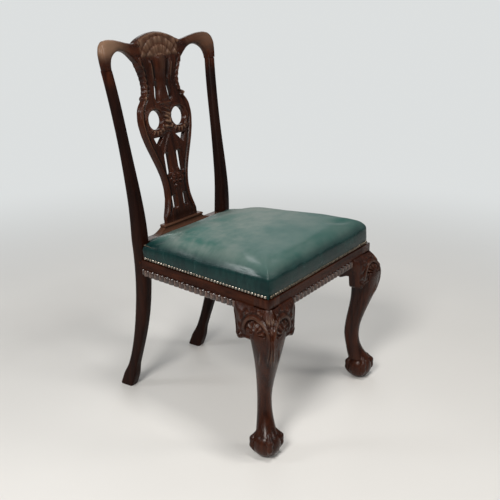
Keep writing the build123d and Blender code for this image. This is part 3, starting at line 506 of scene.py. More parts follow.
def splatEdges(z):
    # Half width of the splat, and the inner and outer edges of the piercing at each height.
    knobZ, knobOut, knobHalf = splat["knob"]
    scallop = 1.3 * np.abs(sin(pi * (z - 811) / 11.5)) * smooth(808, 816, z) * smooth(896, 884, z)
    outer = softCurve(splat["outline"], z, 7) + knobOut * np.sqrt(bump(z, knobZ, knobHalf)) + scallop
    piercings = []
    for x, middle, halfWidth, halfHeight in slots:
        end = min(halfWidth, halfHeight)
        rise = np.clip(np.abs(z - middle) - (halfHeight - end), 0, end)
        half = halfWidth - end + np.sqrt(end**2 - rise**2)
        piercings.append((np.abs(z - middle) < halfHeight, x - half, x + half))
    rise = (z - slit["middle"]) / slit["tall"]
    half = slit["half"] * unit(1 - rise**2) ** 0.4
    piercings.append((np.abs(rise) < 1, slitLine(z) - half, slitLine(z) + half))
    share = (triangle["top"] - z) / (triangle["top"] - triangle["tip"])
    sides = [triangle[side] + (triangle["tipX"] - triangle[side]) * share for side in ("inner", "outer")]
    piercings.append(((share >= 0) & (share <= 1), *sides))
    near = far = softCurve(splat["seam"], z, 1.5)
    for inside, inner, outwards in piercings:
        near = where(inside, inner, near)
        far = where(inside, outwards, far)
    return outer, near, far


def splatCarving(x, z, edge):
    # Relief, and its rub and painted light: straps along the outline with slanting ribs above the notch, rings
    # and ruffles round the ovals, ribs on the stem, a trumpet between two leaves, and a spray of leaves low
    # down.
    # Ridges and lips are paler as wear and painted highlight, grooves and channels darker as painted shade.
    ax = np.abs(x)
    strap = (3.0 * bump(edge, 6, 6.5) - 3.0 * bump(edge, 15, 5)) * smooth(478, 500, z)
    ribs = 0.8 * cos(2 * pi * (z * 0.8 + edge * 1.5) / 13) * bump(edge, 9, 12)
    ribs = ribs * smooth(806, 818, z) * smooth(900, 880, z)
    ovalX, ovalZ, ovalWide, _ = slots[-1]
    ovalOut = hypot((ax - ovalX) / ovalWide, (z - ovalZ) / 25.5)
    ovalTurn = np.arctan2(z - ovalZ, ax - ovalX)
    ring = 2.6 * bump(ovalOut, 1.2, 0.24) * smooth(17, 25, ax)
    below = smooth(-0.1, 0.5, -sin(ovalTurn + 0.5))
    ruffle = (2.6 + 1.7 * cos(ovalTurn * 17)) * bump(ovalOut, 1.46, 0.46) * below
    streaks = 1.3 * cos(edge - 14 + z * 0.05) * bump(edge, 18, 13) * bump(z, 735, 70)
    stem = (2.4 + 1.6 * cos(2 * pi * (z + x * 0.35) / 12)) * bump(ax, 0, 26)
    stem = stem * smooth(704, 712, z) * smooth(783, 775, z)
    collar = 2.6 * bump(z, 783, 6) * smooth(30, 24, ax)
    line = slitLine(z)
    trumpet = (3.0 + 2.4 * smooth(838, 880, z)) * unit(1 - (ax / (line - 7)) ** 2)
    trumpet = trumpet * smooth(783, 797, z)
    channel = -4.6 * bump(ax - line, 0, 7) * smooth(842, 856, z)
    leafEdge = 3.6 * bump(ax - line, 10, 7) * smooth(830, 856, z) * smooth(902, 880, z)
    vase = 1.8 * bump(ax, 34 - np.clip(z - 655, 0, 50) * 0.68, 5) * smooth(588, 600, z) * smooth(706, 696, z)
    petalUp = z - spray["rosette"]
    petalOut = hypot(ax, petalUp * 0.85)
    petals = (2.0 + 1.9 * cos(np.arctan2(petalUp, ax) * 7)) * bump(petalOut, 13, 11)
    rosette = petals + 3.6 * bump(petalOut, 0, 6)
    leafAcross, leafUp = ax - spray["leafX"], z - spray["leafHeight"]
    leafOut = hypot(leafAcross, leafUp * 0.8)
    leaves = (1.8 + 1.5 * cos(np.arctan2(leafUp, leafAcross) * 6)) * bump(leafOut, 10, 10)
    tongue = 1.8 * bump(ax, 11, 5) * smooth(484, 496, z) * smooth(556, 540, z)
    tongue = tongue + 1.6 * bump(ax, 38, 6) * smooth(520, 500, z)
    knob = 4.4 * bump(hypot(ax - 80, (z - 803) * 0.9), 0, 9)
    fine = strap + ribs + ring + streaks + collar + channel + leafEdge + 0.7 * (ruffle + stem)
    broad = rosette + leaves + trumpet + vase + tongue + knob + 0.3 * (ruffle + stem)
    # Ridges paler as wear and painted highlight, grooves darker as painted shade, and all darker towards the
    # foot.
    rubAndPaintedLight = 0.2 * fine + 0.1 * broad - 0.2 - 0.35 * smooth(660, 540, z)
    return 1.25 * (fine + broad), np.clip(rubAndPaintedLight, -1, 0.8)


def splatRows():
    # Heights from foot to head, closer together where a piercing opens or closes.
    ends = [middle + side * half for _, middle, _, half in slots for side in (1, -1)]
    ends += [slit["middle"] + slit["tall"], slit["middle"] - slit["tall"], triangle["top"], triangle["tip"]]
    close = array([0.02, 0.15, 0.4, 0.8, 1.4, 2.2, 3.2])
    near = (array(ends)[:, None] + concatenate([-close, close])).ravel()
    even = np.arange(splat["foot"], splat["head"], splat["step"])
    return np.unique(concatenate([even, near]).round(3))


def splatPanel(*columns):
    # A strip between two edges at each height: a carved front, rounded at its open edges, and a flat back.
    left, right, z, openLeft, openRight, outer = (column[:, None] for column in columns)
    share = 0.5 - 0.5 * cos(linspace(0, pi, splat["front"]))
    x = left + (right - left) * share
    fromLeft = where(openLeft > 0, (x - left) / np.maximum(openLeft, 1e-3), 99)
    fromRight = where(openRight > 0, (right - x) / np.maximum(openRight, 1e-3), 99)
    inset = unit(np.minimum(fromLeft, fromRight) / splat["roundness"])
    carve, rubbedAndPaintedLight = splatCarving(x, z, outer - np.abs(x))
    carve = carve * smooth(0, 0.8, inset)
    drop = splat["roundness"] * fallAway(inset) * 0.8
    thick = splat["half"] + splat["fuller"] * smooth(472, 490, z)
    forward = thick + splat["headForward"] * smooth(835, 896, z) - 9 * smooth(902, 914, z)
    frontFace = onBack(x, z, forward + carve - drop)
    backX = left + (right - left) * linspace(1, 0, splat["rear"])
    backFace = onBack(backX, z, -thick)
    rubAndPaintedLight = beside(rubbedAndPaintedLight * smooth(0, 1, inset), np.zeros(backX.shape))
    return ringSkin(beside(frontFace, backFace)), rubAndPaintedLight.ravel()


def splatSkins():
    z = splatRows()
    outer, near, far = splatEdges(z)
    pierced = smooth(0, 3, far - near)
    middle, middleRubAndPaintedLight = splatPanel(-near, near, z, pierced, pierced, outer)
    side, sideRubAndPaintedLight = splatPanel(far, outer, z, pierced, np.ones(len(z)), outer)
    return [middle, side] + mirrored([side]), [middleRubAndPaintedLight, sideRubAndPaintedLight, sideRubAndPaintedLight]


skins, rubsAndPaintedLight = splatSkins()
addPiece("piercedSplat", skins, rubsAndPaintedLight, carvedZ, "splat", 60)
print("splat carved")

# Front legs: a cabriole of soft square sections with carved knees, on a ball gripped by four talons
leg = dict(
    ballX=250.8, ballY=-255.5, ballHeight=33.0, ballRadius=35.4, knee=318.0, ankle=140.0, claw=60.0,
    talonTrack=34.5, talonRadius=7.6, talonStart=-4, talonTurn=142, block=46.0, blockInner=(209.5, -221.0),
    sides=120,
)
knee = dict(shell=(46.0, 330.0), husk=(30.0, 272.0))


def legSections(z):
    # Reach to the front and back of the ball's middle, width, and how round each section is.
    top = unit((z - leg["knee"]) / (seat["railBottom"] - leg["knee"]))
    calf = unit((z - leg["ankle"]) / (leg["knee"] - leg["ankle"]))
    foot = np.clip((leg["ankle"] - z) / (leg["ankle"] - 64), 0, 1.06)
    # Below the ankle, above the knee, and on the calf between them.
    ends = [foot > 0, top > 0]
    calfFront = -6 + 55 * smooth(0, 1, calf)
    front = np.select(ends, [-6 + 32 * foot**2.2, 49 - 34 * (1 - cos(top * pi / 2))], calfFront)
    rear = np.select(ends, [48.5 - 14.5 * foot**1.3, 33 + 13 * top], 48.5 - 15.5 * smooth(0, 0.7, calf))
    width = np.select(ends, [35 + 15 * foot**2.2, 86 - 26 * smooth(0, 1, top)], 35 + 51 * calf**1.5)
    roundness = 2 - 0.62 * smooth(0, 1, calf)
    return front, rear, width, roundness


def kneeCarving(along, z):
    # Relief by the distance from the knee's ridge and the height: a shell of fat lobes inside a scrolled band
    # on each face, leaves outside the band, long strands down the ridge and a husk below.
    shellAlong, shellZ = knee["shell"]
    huskAlong, huskZ = knee["husk"]
    out = hypot(along - shellAlong, z - shellZ)
    turn = np.arctan2(z - shellZ, along - shellAlong)
    upper = smooth(-0.4, 0.1, sin(turn))
    lobes = np.abs(cos(turn * 5.5)) ** 0.8
    fan = (7.0 * lobes - 3.4) * smooth(4, 10, out) * smooth(27, 23, out) * upper
    band = 3.4 * smooth(28, 31, out) * smooth(41, 36, out) * upper
    quirk = (-2.4 * bump(out, 27.5, 3) - 2.0 * bump(out, 42, 3)) * upper
    leaves = (1.2 + 1.8 * cos(turn * 13)) * bump(out, 48, 9) * upper
    ridge = smooth(16, 8, along) * smooth(240, 275, z) * smooth(384, 370, z)
    strands = ridge * (1.8 + 1.3 * cos(along * 0.8 + (z - 300) * 0.05))
    huskOut = hypot((along - huskAlong) * 1.3, (z - huskZ) * 0.55)
    husk = (1.6 + 1.4 * cos((along - huskAlong) * 0.6)) * bump(huskOut, 0, 17)
    inside = smooth(40, 34, out) * upper
    return fan + band + quirk + (leaves + strands + husk) * (1 - inside)


def kneeRubAndPaintedLight(carve):
    # Painted shade darkens the hollows of the carving, and its ridges are paler as wear and painted highlight.
    return np.clip(carve / 6.0, -0.7, 0.6)


def legPlan(out, across):
    # A point in plan by its reach from the ball's middle: towards the seat's corner, and across that.
    return leg["ballX"] + (out + across) / math.sqrt(2), leg["ballY"] + (across - out) / math.sqrt(2)


def legSkin():
    foot, calf = linspace(leg["claw"], leg["ankle"], 40), linspace(leg["ankle"] + 2, 225, 34)
    z = concatenate([foot, calf, linspace(226.5, seat["railBottom"], 106)])[:, None]
    front, rear, width, roundness = legSections(z)
    turn = around(leg["sides"])
    reach = powered(cos(turn), 2 / roundness)
    away = reach * (front + rear) / 2
    out = away + (front - rear) / 2
    across = powered(sin(turn), 2 / roundness) * width / 2
    x, y = legPlan(out, across)
    along = np.abs((seat["frontHalf"] - x) - (y - seat["frontY"]))
    facing = smooth(-0.25, 0.25, reach + 0.15)
    carve = kneeCarving(along, z) * facing * smooth(384, 378, z)
    # The carving stands out from the middle of each section.
    length = np.maximum(hypot(away, across), 1)
    points = xyz(*legPlan(out + carve * away / length, across + carve * across / length), z)
    rubAndPaintedLight = kneeRubAndPaintedLight(carve) - 0.25 * bump(z, 330, 60) * facing + 0.1 * bump(z, 90, 40)
    return ringSkin(points), rubAndPaintedLight.ravel()


def ballSkin():
    # A ball flattened where it stands on the floor.
    polar = linspace(0.15, 2.78, 30)[:, None]
    turn = around(48)
    flat = leg["ballRadius"] * sin(polar)
    z = np.maximum(leg["ballHeight"] + leg["ballRadius"] * cos(polar), 0)
    points = xyz(leg["ballX"] + flat * cos(turn), leg["ballY"] + flat * sin(turn), z)
    return ringSkin(points), np.full(points.shape[:2], -0.1).ravel()


def talonSkin(heading):
    # A finger bent over the ball: a tube that swells at its knuckles and thins to a claw.
    u = linspace(0, 1, 54)[:, None]
    polar = np.radians(leg["talonStart"] + leg["talonTurn"] * u)
    knuckles = 1 + 0.26 * bump(u, 0.26, 0.1) + 0.3 * bump(u, 0.5, 0.1) + 0.16 * bump(u, 0.7, 0.08)
    taper = (1 - 0.72 * smooth(0.72, 1, u)) * (1 + 0.35 * smooth(0.2, 0, u))
    radius = leg["talonRadius"] * knuckles * taper
    track = leg["talonTrack"] - 1.0 + 2.2 * bump(u, 0.5, 0.3) + 0.8 * smooth(0.8, 1, u)
    turn = around(18)
    away = track + radius * cos(turn)
    flat = away * sin(polar)
    sideways = radius * sin(turn) * (1 - 0.12 * smooth(0.72, 0.95, u))
    z = np.maximum(leg["ballHeight"] + away * cos(polar), 0)
    x = leg["ballX"] + flat * cos(heading) - sideways * sin(heading)
    y = leg["ballY"] + flat * sin(heading) + sideways * cos(heading)
    rubAndPaintedLight = 0.5 * (knuckles - 1) * (cos(turn) > 0)
    return ringSkin(xyz(x, y, z)), rubAndPaintedLight.ravel()


def blockSkin():
    # The square top of the leg that shows between the rails, its outer edge softened.
    corner, block = seat["frontHalf"], leg["block"]
    plan = array([(corner - 1.2, seat["frontY"]), (corner - block, seat["frontY"]), leg["blockInner"],
                  sidePlan(block, 0), (corner - 0.2, seat["frontY"] + 1.2)])
    z = array([382.0, seat["lipTop"] - 1.0, seat["lipTop"]])[:, None]
    eased = array([1, 1, 0.985])[:, None, None]
    middle = plan.mean(0)
    flat = (plan - middle) * eased + middle
    points = xyz(flat[..., 0], flat[..., 1], z)
    return ringSkin(points), np.zeros(points.shape[0] * points.shape[1])


headings = [-pi / 4 + quarter * pi / 2 for quarter in range(4)]
parts = [legSkin(), ballSkin(), blockSkin()] + [talonSkin(heading) for heading in headings]
skins, rubsAndPaintedLight = zip(*parts)
addPair("frontLeg", skins, rubsAndPaintedLight, carvedZ, "front_leg")
print("front legs carved")

# Knee brackets: wings that carry the knee's swell along the rail to a scroll. The lower edge is a drop at
# each distance along the rail, and the scroll is a distance, a height and a radius.
bracket = dict(
    start=8.0, end=103.0, deep=16.0, proud=24.0, thin=7.0, top=4.0, columns=100, rows=70,
    scroll=(77.0, 309.5, 11.5),
    drop=[(8, 81), (60, 81), (66, 83), (72, 86), (77, 87), (82, 86), (86, 82), (88.5, 75), (90, 64), (92, 52),
          (96, 38), (100, 28), (103, 22)],
)


def bracketSkin(front):
    s = linspace(bracket["start"], bracket["end"], bracket["columns"])[:, None]
    v = linspace(0, 1, bracket["rows"])
    drop = softCurve(bracket["drop"], s, 1.6)
    z = seat["railBottom"] - drop * v
    # The wing stands out by the lesser of its plan and its profile, with a soft turn between them.
    plan = bracket["proud"] - (bracket["proud"] - bracket["thin"]) * unit((s - 46) / 57) ** 2
    profile = bracket["top"] + 15.2 * sin(unit((seat["railBottom"] - z) / 26) * pi / 2)
    out = -3 * np.log(np.exp(-plan / 3) + np.exp(-profile / 3))
    fromEdge = unit((drop * (1 - v)) / 7)
    out = out - 7 * fallAway(fromEdge) - 3 * fallAway(unit((bracket["end"] - s) / 4))
    scrollAlong, scrollZ, scrollRadius = bracket["scroll"]
    scrollOut = hypot(s - scrollAlong, z - scrollZ)
    scrollTurn = np.arctan2(z - scrollZ, s - scrollAlong)
    curl = 2.6 * smooth(scrollRadius + 1, scrollRadius - 2, scrollOut)
    curl = curl * (0.75 + 0.6 * cos(scrollOut * 1.15 - scrollTurn))
    edgeRoll = 1.8 * bump(drop * (1 - v), 6, 6) * (1 - smooth(scrollRadius, scrollRadius - 3, scrollOut))
    carve = kneeCarving(s + out, z) * smooth(scrollRadius, scrollRadius + 4, scrollOut) + curl + edgeRoll
    carve = carve * smooth(0, 0.12, v) * smooth(0, 0.6, fromEdge)
    backZ = seat["railBottom"] - drop * array([1, 0.5, 0])
    out = beside(out + carve, np.full(backZ.shape, -bracket["deep"]))
    rubAndPaintedLight = beside(kneeRubAndPaintedLight(carve) - 0.25, np.zeros(backZ.shape))
    return ringSkin(xyz(*railPlan(s, out, front), beside(z, backZ))), rubAndPaintedLight.ravel()


for side, front in (("Front", True), ("Side", False)):
    skin, rubAndPaintedLight = bracketSkin(front)
    addPair(f"kneeBracket{side}", [skin], [rubAndPaintedLight], carvedZ, f"knee_bracket_{side.lower()}")
print("knee brackets carved")

# Gadrooning: a row of slanting lobes under each rail
gadroon = dict(
    start=103.2, sideEnd=433.4, pitch=18.0, height=24.0, deep=15.0, bulge=5.6, setBack=5.4, perLobe=14,
    rows=22,
)


def gadroonSkin(end, front):
    start = gadroon["start"]
    lobes = round((end - start) / gadroon["pitch"])
    s = linspace(start, end, lobes * gadroon["perLobe"] + 1)[:, None]
    v = linspace(0, 1, gadroon["rows"])
    phase = (s - start) / (end - start) * lobes + 0.22 * sin(v * pi)
    lobe = np.abs(sin(pi * phase)) ** 0.6
    belly = smooth(0, 0.2, v) * smooth(1, 0.82, v)
    drop = gadroon["height"] * (1 - 0.13 * (1 - lobe)) * v
    ovolo = 2.4 * sin(unit(v / 0.35) * pi / 2) - 3.4 * smooth(0.6, 1, v) ** 2
    out = gadroon["bulge"] * lobe * belly + ovolo - gadroon["setBack"]
    rear = np.ones((len(s), 2))
    out = beside(out, -gadroon["deep"] * rear)
    height = seat["railBottom"] - beside(drop, drop[:, -1:], 0 * s)
    # Painted highlight on the swell of each lobe and painted shade in the gaps between lobes.
    rubAndPaintedLight = beside(lobe**2 * belly * 1.1 - 0.6, 0 * rear)
    return ringSkin(xyz(*railPlan(s, out, front), height)), rubAndPaintedLight.ravel()


skin, rubAndPaintedLight = gadroonSkin(2 * seat["frontHalf"] - gadroon["start"], True)
addPiece("gadroonFront", [skin], [rubAndPaintedLight], lobedX, "gadroon_front")
skin, rubAndPaintedLight = gadroonSkin(gadroon["sideEnd"], False)
addPair("gadroon", [skin], [rubAndPaintedLight], lobedY, "gadroon")
print("gadrooning carved")

# Close nailing: domed heads in a row along the leather's lower edge
nail = dict(radius=4.4, rise=2.6, pitch=10.0, height=411.0, inset=4.5, front=50, side=42, sideStart=16.275)


def nailSkins(along, front):
    # Low domes: rings that close in as they rise, round each place on the row.
    ring = np.radians([90, 62, 34, 8])[:, None]
    turn = around(9)
    across = nail["radius"] * sin(ring) * cos(turn)
    height = nail["height"] + nail["radius"] * sin(ring) * sin(turn)
    out = nail["rise"] * cos(ring) - 0.4 * (ring > 1.5) - nail["inset"]
    points = xyz(*railPlan(along[:, None, None] + across, out, front), height)
    return [ringSkin(head) for head in points]


frontRow = seat["frontHalf"] + (np.arange(nail["front"]) - (nail["front"] - 1) / 2) * nail["pitch"]
sideRow = nail["sideStart"] + np.arange(nail["side"]) * nail["pitch"]
# The front row takes the darker brass copy, which is painted shade.
addPiece("nailsFront", nailSkins(frontRow, True), None, brassPaintedInShade, "nails_front")
addPair("nails", nailSkins(sideRow, False), None, brass, "nails")
print("nails driven")


# Leather cover: a hide drawn over the stuffing, down the front and sides to the nails and tucked in behind
leather = dict(
    inset=4.5, shoulder=62.0, plump=(2.5, 4.2), rise=48.0, bulge=2.4, skirtTop=434.0, hem=406.4,
    rearHem=441.0, crown=6.0, frontY=-262.0, rearY=174.9, notchX=166.0, notchY=161.4, top=0.60, edge=0.86,
    inner=41, outer=27, rearLow=0.42, thickness=2.0, pressure=3.0, cap=4.0, steps=20,
)


def seatHalf(y, inset):
    # Half width of the seat at a depth, at an inset from the rails' faces.
    along = (y - seat["frontY"] + inset * seat["slant"]) / seat["straight"]
    return seat["frontHalf"] - along * seat["slant"] - inset * seat["straight"]


def seatSurface(a, b, depth):
    # The seat over a square of two parameters: a crowned top, a plump shoulder and an upright skirt.
    top, edge = leather["top"], leather["edge"]
    away = np.maximum(np.abs(a), np.abs(b))
    p, q = (value / np.maximum(away, top) for value in (a, b))
    angle = unit((away - top) / (edge - top)) * pi / 2
    skirt = unit((away - edge) / (1 - edge))
    # The front is squarer than the sides and the back.
    soft, square = leather["plump"]
    power = 2 / (soft + (square - soft) * smooth(0.1, -0.85, q))
    roll = 1 - sin(angle) ** power
    bulge = leather["bulge"] * bump(away, edge + 0.01, 0.12)
    inset = depth + (leather["shoulder"] - depth) * roll - bulge
    # The corners of the top are rounder than the corners of the hem.
    pull = (0.008 + 0.014 * (1 - skirt) + 0.10 * roll) * smooth(0.3, -0.3, q)
    p, q = p * (1 - pull * np.abs(q) ** 8), q * (1 - pull * np.abs(p) ** 8)
    frontY = leather["frontY"] + inset
    rearX = np.abs(p) * seatHalf(leather["rearY"], leather["inset"] + inset)
    betweenPosts = smooth(leather["notchX"] + 3, leather["notchX"] - 5, rearX)
    rearY = leather["notchY"] + (leather["rearY"] - leather["notchY"]) * betweenPosts
    y = frontY + (rearY - inset - frontY) * (q + 1) / 2
    x = p * seatHalf(y, leather["inset"] + inset)
    # A pleat stands at each front corner, where the spare hide is folded under.
    onFront = np.abs(q) > np.abs(p)
    corner = where(onFront, (1 - np.abs(p)) * 255, (q + 1) * 215)
    fold = (q < 0) * smooth(0.3, 1.2, angle)
    tuck = fold * (1.2 * bump(corner, 2, 5) - 2.4 * onFront * bump(corner, 9, 3.5))
    crown = leather["crown"] * (1 - np.abs(p) ** 2) * (1 - np.abs(q) ** 2)
    ripple = 0.6 * sin(x * 0.031 + y * 0.017) * cos(y * 0.027 - x * 0.011) * roll
    hem = where((q > 0.999) & (np.abs(p) < 0.999), leather["rearHem"], leather["hem"])
    low = 1 - leather["rearLow"] * smooth(leather["rearY"] - 150, leather["rearY"] - 8, y)
    rise = (leather["rise"] - depth) * np.abs(cos(angle)) ** power * low
    z = leather["skirtTop"] + rise + crown + ripple - skirt * (leather["skirtTop"] - hem)
    return xyz(x + np.sign(x) * tuck * ~onFront, y - tuck * onFront * (q < 0), z), away


def seatGrid():
    # Places on the square, closer together towards its edges.
    inner = leather["top"] * linspace(-1, 1, leather["inner"])
    step = linspace(0, 1, leather["outer"])[1:]
    outer = leather["top"] + (1 - leather["top"]) * (1.25 * step - 0.25 * step**2)
    return concatenate([-outer[::-1], inner, outer])


def swell(piece, pinned):
    # Cloth under pressure with its skirt held; each point's movement is capped.
    group = piece.vertex_groups.new(name="held")
    group.add(np.flatnonzero(pinned).tolist(), 1.0, "REPLACE")
    cloth = piece.modifiers.new("swell", "CLOTH")
    settings = dict(
        vertex_group_mass="held", mass=0.3, tension_stiffness=20, compression_stiffness=20, shear_stiffness=8,
        bending_stiffness=2, use_pressure=True, uniform_pressure_force=leather["pressure"],
    )
    for name, value in settings.items():
        setattr(cloth.settings, name, value)
    cloth.settings.effector_weights.gravity = 0
    cloth.point_cache.frame_start = 1
    cloth.point_cache.frame_end = leather["steps"]
    for step in range(leather["steps"]):
        bpy.context.scene.frame_set(step + 1)
    swollen = piece.evaluated_get(bpy.context.evaluated_depsgraph_get()).to_mesh()
    rest, moved = np.empty((2, len(piece.data.vertices) * 3))
    piece.data.vertices.foreach_get("co", rest)
    swollen.vertices.foreach_get("co", moved)
    shift = (moved - rest).reshape(-1, 3)
    length = np.linalg.norm(shift, axis=1, keepdims=True)
    print("swelled by up to", round(float(length.max()) / mm, 1), "mm")
    shift *= np.minimum(1, leather["cap"] * mm / np.maximum(length, 1e-9))
    piece.modifiers.remove(cloth)
    piece.data.vertices.foreach_set("co", rest + shift.ravel())
    piece.data.update()
    bpy.context.scene.frame_set(1)


def makeLeather():
    # Dark green hide with a pebbled grain and creases. The top is paler than the sides, partly wear and partly
    # painted light: painted sheen on the top and painted shade on the sides. Places are in metres.
    material, shade, place = newMaterial("greenHide")
    depth, height = (shade.node("SeparateXYZ", None, {"Vector": place}, axis) for axis in (1, 2))
    cloud = shade.noise(place, 5.0, 5, 0.62, (1.5, 1, 1))
    streak = shade.noise(place, 18, 5, 0.66, (1, 2.4, 1))
    # The sides take the dark colours as painted shade; the worn and lit top takes a paler green, more of it
    # towards the back.
    wornAndLitTop = height.ramp(0.448, 0.480) * (0.62 + depth.ramp(-0.2, 0.16) * 0.38)
    # Pale grey patches on the top, partly wear and partly painted sheen, growing towards the back where the
    # painted sheen is strongest.
    wearAndSheen = (cloud * 0.7 + streak * 0.3).ramp(0.34, 0.66) * wornAndLitTop * (0.42 + depth.ramp(-0.25, -0.03) * 0.58)
    colour = streak.ramp(0.3, 0.7).blend((0.0026, 0.0155, 0.0158, 1), (0.006, 0.030, 0.028, 1))
    colour = wornAndLitTop.blend(colour, (0.038, 0.122, 0.104, 1))
    colour = (wearAndSheen * 0.9).blend(colour, (0.215, 0.236, 0.218, 1))
    cells = {"feature": "DISTANCE_TO_EDGE"}
    pebble = shade.node("TexVoronoi", cells, {"Vector": place, "Scale": 620.0}).ramp(0.0, 0.28)
    crease = shade.node("TexVoronoi", cells, {"Vector": place, "Scale": 38.0}).ramp(0.0, 0.05)
    grain = pebble * 0.55 + crease * 0.3 + shade.noise(place, 60, 3, 0.6) * 0.8
    shade.dress({
        "Base Color": colour,
        "Roughness": 0.2 + wornAndLitTop * 0.3 + wearAndSheen * 0.1 + streak * 0.12,
        "Coat Weight": height.ramp(0.450, 0.460) * (1 - height.ramp(0.476, 0.485)) * 0.6,
        "Coat Roughness": 0.22,
        "Specular IOR Level": 0.16,
        "Normal": shade.relief(grain, 0.22, 0.0006),
    })
    return material


def makeWoven(name, light, dark, threads):
    # Plain weave from two crossed waves, with slubs that thicken some threads.
    material, shade, place = newMaterial(name)
    waves = {"Vector": place, "Scale": threads, "Distortion": 1.2, "Detail": 1.0}
    warp, weft = (shade.node("TexWave", {"bands_direction": axis}, waves, 1) for axis in "XY")
    slub = shade.noise(place, 60, 3, 0.6, (1, 6, 1))
    weave = warp * weft
    shade.dress({
        "Base Color": (weave * 0.7 + slub * 0.4).ramp(0.05, 0.8).blend(dark, light),
        "Roughness": 0.8 + slub * 0.15,
        "Normal": shade.relief(weave + slub * 0.4, 0.6, 0.0006),
    })
    return material


hide = makeLeather()
jute = makeWoven("juteWebbing", (0.40, 0.30, 0.18, 1), (0.16, 0.11, 0.06, 1), 260)
sacking = makeWoven("hessian", (0.44, 0.34, 0.21, 1), (0.17, 0.12, 0.07, 1), 190)
hair = makeWoven("stuffingHair", (0.22, 0.16, 0.10, 1), (0.06, 0.04, 0.03, 1), 90)

places = seatGrid()
points, away = seatSurface(*np.meshgrid(places, places), 0.0)
cover = addPiece("leatherCover", [sheetSkin(points)], None, hide, "leather_cover", 180)
swell(cover, away.ravel() > leather["edge"] - 0.03)
wall = cover.modifiers.new("hide", "SOLIDIFY")
wall.thickness = leather["thickness"] * mm
wall.offset = -1
finer = cover.modifiers.new("finer", "SUBSURF")
finer.levels = finer.render_levels = 1
print("leather drawn over the seat")

# Stuffing: the same form a little smaller, closed underneath and lumpy
stuffing = dict(depth=3.0, bottom=445.4, around=160)


def stuffingSkin():
    turn = around(stuffing["around"])
    square = np.maximum(np.abs(cos(turn)), np.abs(sin(turn)))
    shoulder = linspace(leather["edge"], leather["top"], 9)
    level = concatenate([shoulder, linspace(leather["top"], 0.02, 22)[1:]])[:, None]
    points, _ = seatSurface(level * cos(turn) / square, level * sin(turn) / square, stuffing["depth"])
    lumps = sin(points[..., 0] * 0.11) * sin(points[..., 1] * 0.13 + 1.0)
    points[..., 2] += 0.9 * lumps * (level < leather["top"]) - 4.0
    points[..., 2] = np.maximum(points[..., 2], stuffing["bottom"] + 0.6)
    base = points[:1] * (0.99, 0.99, 0) + (0, 0, stuffing["bottom"])
    return ringSkin(concatenate([base, points]))


pad = addPiece("seatStuffing", [stuffingSkin()], None, hair, "seat_stuffing", 80)

# Webbing: strips woven over and under each other, tacked down on the rails
webbing = dict(
    width=50.0, thickness=1.4, pitch=75.0, middleZ=441.75, wave=0.85, columns=(-75, 0, 75), middleY=-47.2,
    frontY=-254.5, rearY=172.2, inset=12.0,
)


def stripPlaces(start, end, first, side):
    # A ribbon's run, breadth and height. With side 1 it goes over the crossing strip at first, with -1 under
    # it, and then by turns.
    run = linspace(start, end, 90)[:, None]
    upperEdge = array([-1, -0.96, -0.5, 0, 0.5, 0.96, 1])
    breadth = concatenate([upperEdge, upperEdge[::-1]]) * webbing["width"] / 2
    lift = array([0.3, 1, 1, 1, 1, 1, 0.3])
    lift = concatenate([lift, -lift]) * webbing["thickness"] / 2
    wave = side * webbing["wave"] * cos((run - first) / webbing["pitch"] * pi)
    return run, breadth, webbing["middleZ"] + wave + lift


def webbingSkins():
    lengthwise, crosswise = [], []
    rows = webbing["middleY"] + array([-1.5, -0.5, 0.5, 1.5]) * webbing["pitch"]
    for index, x in enumerate(webbing["columns"]):
        y, breadth, z = stripPlaces(webbing["frontY"], webbing["rearY"], rows[0], (-1) ** index)
        lengthwise.append(ringSkin(xyz(x + breadth, y, z)))
    for index, y in enumerate(rows):
        half = seatHalf(y + webbing["width"] / 2, webbing["inset"])
        x, breadth, z = stripPlaces(-half, half, webbing["columns"][0], -((-1) ** index))
        crosswise.append(ringSkin(xyz(x, y + breadth, z)))
    return lengthwise, crosswise


for name, skins in zip(("Lengthwise", "Crosswise"), webbingSkins()):
    addPiece(f"webbing{name}", skins, None, jute, f"webbing_{name.lower()}", 60)

# Hessian: a sheet stretched over the webbing, sagging a little between the strips
sheet = dict(frontY=-254.5, rearY=150.2, z=444.3, thickness=0.9, sag=0.5, inset=12.0, rows=70, columns=80)


def hessianSkin():
    y = linspace(sheet["frontY"], sheet["rearY"], sheet["rows"])[:, None]
    x = linspace(-1, 1, sheet["columns"]) * seatHalf(y, sheet["inset"])
    z = sheet["z"] - sheet["sag"] * (0.5 - 0.5 * cos(2 * pi * x / webbing["pitch"])) * bump(x, 0, 200)
    return sheetSkin(xyz(x, y, z))


cloth = addPiece("hessianSheet", [hessianSkin()], None, sacking, "hessian", 180)
wall = cloth.modifiers.new("cloth", "SOLIDIFY")
wall.thickness = sheet["thickness"] * mm
wall.offset = 0
frontSpan, rearSpan = (2 * seatHalf(sheet[name], sheet["inset"]) * mm for name in ("frontY", "rearY"))
span = (sheet["rearY"] - sheet["frontY"]) * mm
area = (frontSpan + rearSpan) / 2 * span
print("webbing, hessian and stuffing laid")


# Camera at the photograph's viewing angle, pale floor and soft studio light, all in metres
camera = dict(place=(-1.716595, -1.1821, 1.106972), yaw=0.9838, pitch=0.3236, lens=58.73, sensor=36)
studio = dict(floor=(0.70, 0.69, 0.67, 1), world=(0.72, 0.74, 0.74, 1), daylight=0.24, half=60.0, mottle=0.96)


def addCamera():
    data = bpy.data.cameras.new("camera")
    data.lens = camera["lens"]
    data.sensor_width = camera["sensor"]
    data.clip_end = 50
    viewer = addObject("camera", data)
    viewer.location = camera["place"]
    viewer.rotation_euler = (pi / 2 - camera["pitch"], 0, -camera["yaw"])
    bpy.context.scene.camera = viewer


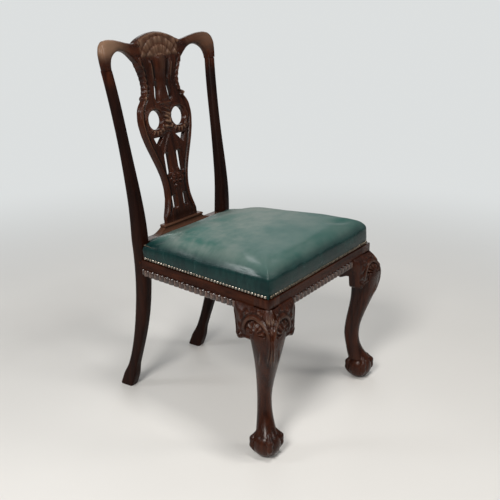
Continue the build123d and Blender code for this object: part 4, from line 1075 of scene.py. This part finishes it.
def addLamp(name, place, aim, size, power, colour):
    data = bpy.data.lights.new(name, "AREA")
    data.energy = power
    data.color = colour
    data.size = size
    lamp = addObject(name, data)
    lamp.location = place
    turn = array(aim) - array(place)
    flat = hypot(turn[0], turn[1])
    lamp.rotation_euler = (math.atan2(flat, -turn[2]), 0, math.atan2(turn[1], turn[0]) - pi / 2)


def addFloor():
    # A wide square with a very faint mottle.
    mesh = bpy.data.meshes.new("floor")
    half = studio["half"]
    corners = [(-half, -half, 0), (half, -half, 0), (half, half, 0), (-half, half, 0)]
    mesh.from_pydata(corners, [], [(0, 1, 2, 3)])
    floor = addObject("floor", mesh)
    material, shade, place = newMaterial("paleFloor")
    darker = (*(studio["mottle"] * part for part in studio["floor"][:3]), 1)
    colour = shade.noise(place, 3, 3, 0.5).blend(darker, studio["floor"])
    shade.dress({"Base Color": colour, "Roughness": 0.6})
    # Away from the chair the floor turns into an even pale backdrop for the camera.
    away = shade.node("VectorMath", {"operation": "LENGTH"}, {0: place}, 1).ramp(0.7, 2.6)
    near = Shade(shade.tree, shade.tree.nodes["Principled BSDF"].outputs[0])
    backdrop = shade.node("Emission", None, {"Color": studio["world"]})
    shown = shade.node("MixShader", None, {0: away * shade.node("LightPath"), 1: near, 2: backdrop})
    shade.plug(shade.tree.nodes["Material Output"].inputs["Surface"], shown)
    setMaterial(floor, material)


def addWorld():
    # Daylight all round, and a backdrop of the world's own colour for the camera.
    world = bpy.data.worlds.new("studio")
    bpy.context.scene.world = world
    world.use_nodes = True
    shade = Shade(world.node_tree)
    sky = world.node_tree.nodes["Background"]
    seen = shade.node("LightPath")
    shade.plug(sky.inputs["Color"], studio["world"])
    shade.plug(sky.inputs["Strength"], seen * (1 - studio["daylight"]) + studio["daylight"])


addCamera()
addFloor()
addLamp("windowLight", (-2.7, -0.7, 2.5), (0, 0, 0.5), 0.9, 90, (1.0, 0.97, 0.93))
addLamp("sideLight", (-2.0, 2.0, 2.0), (0, 0.1, 0.6), 0.7, 16, (0.97, 0.98, 1.0))
addLamp("fillLight", (1.2, -2.8, 2.2), (0, 0, 0.4), 0.9, 24, (1.0, 0.96, 0.92))
addLamp("ceilingLight", (-0.2, -0.8, 2.7), (0, 0, 0.5), 0.6, 26, (1.0, 0.98, 0.95))
addLamp("wallGlow", (3.0, 2.2, 2.2), (0, 0, 0.5), 2.4, 26, (0.97, 0.99, 1.0))
addWorld()
bpy.context.scene.view_settings.view_transform = "Standard"
print("stage set")
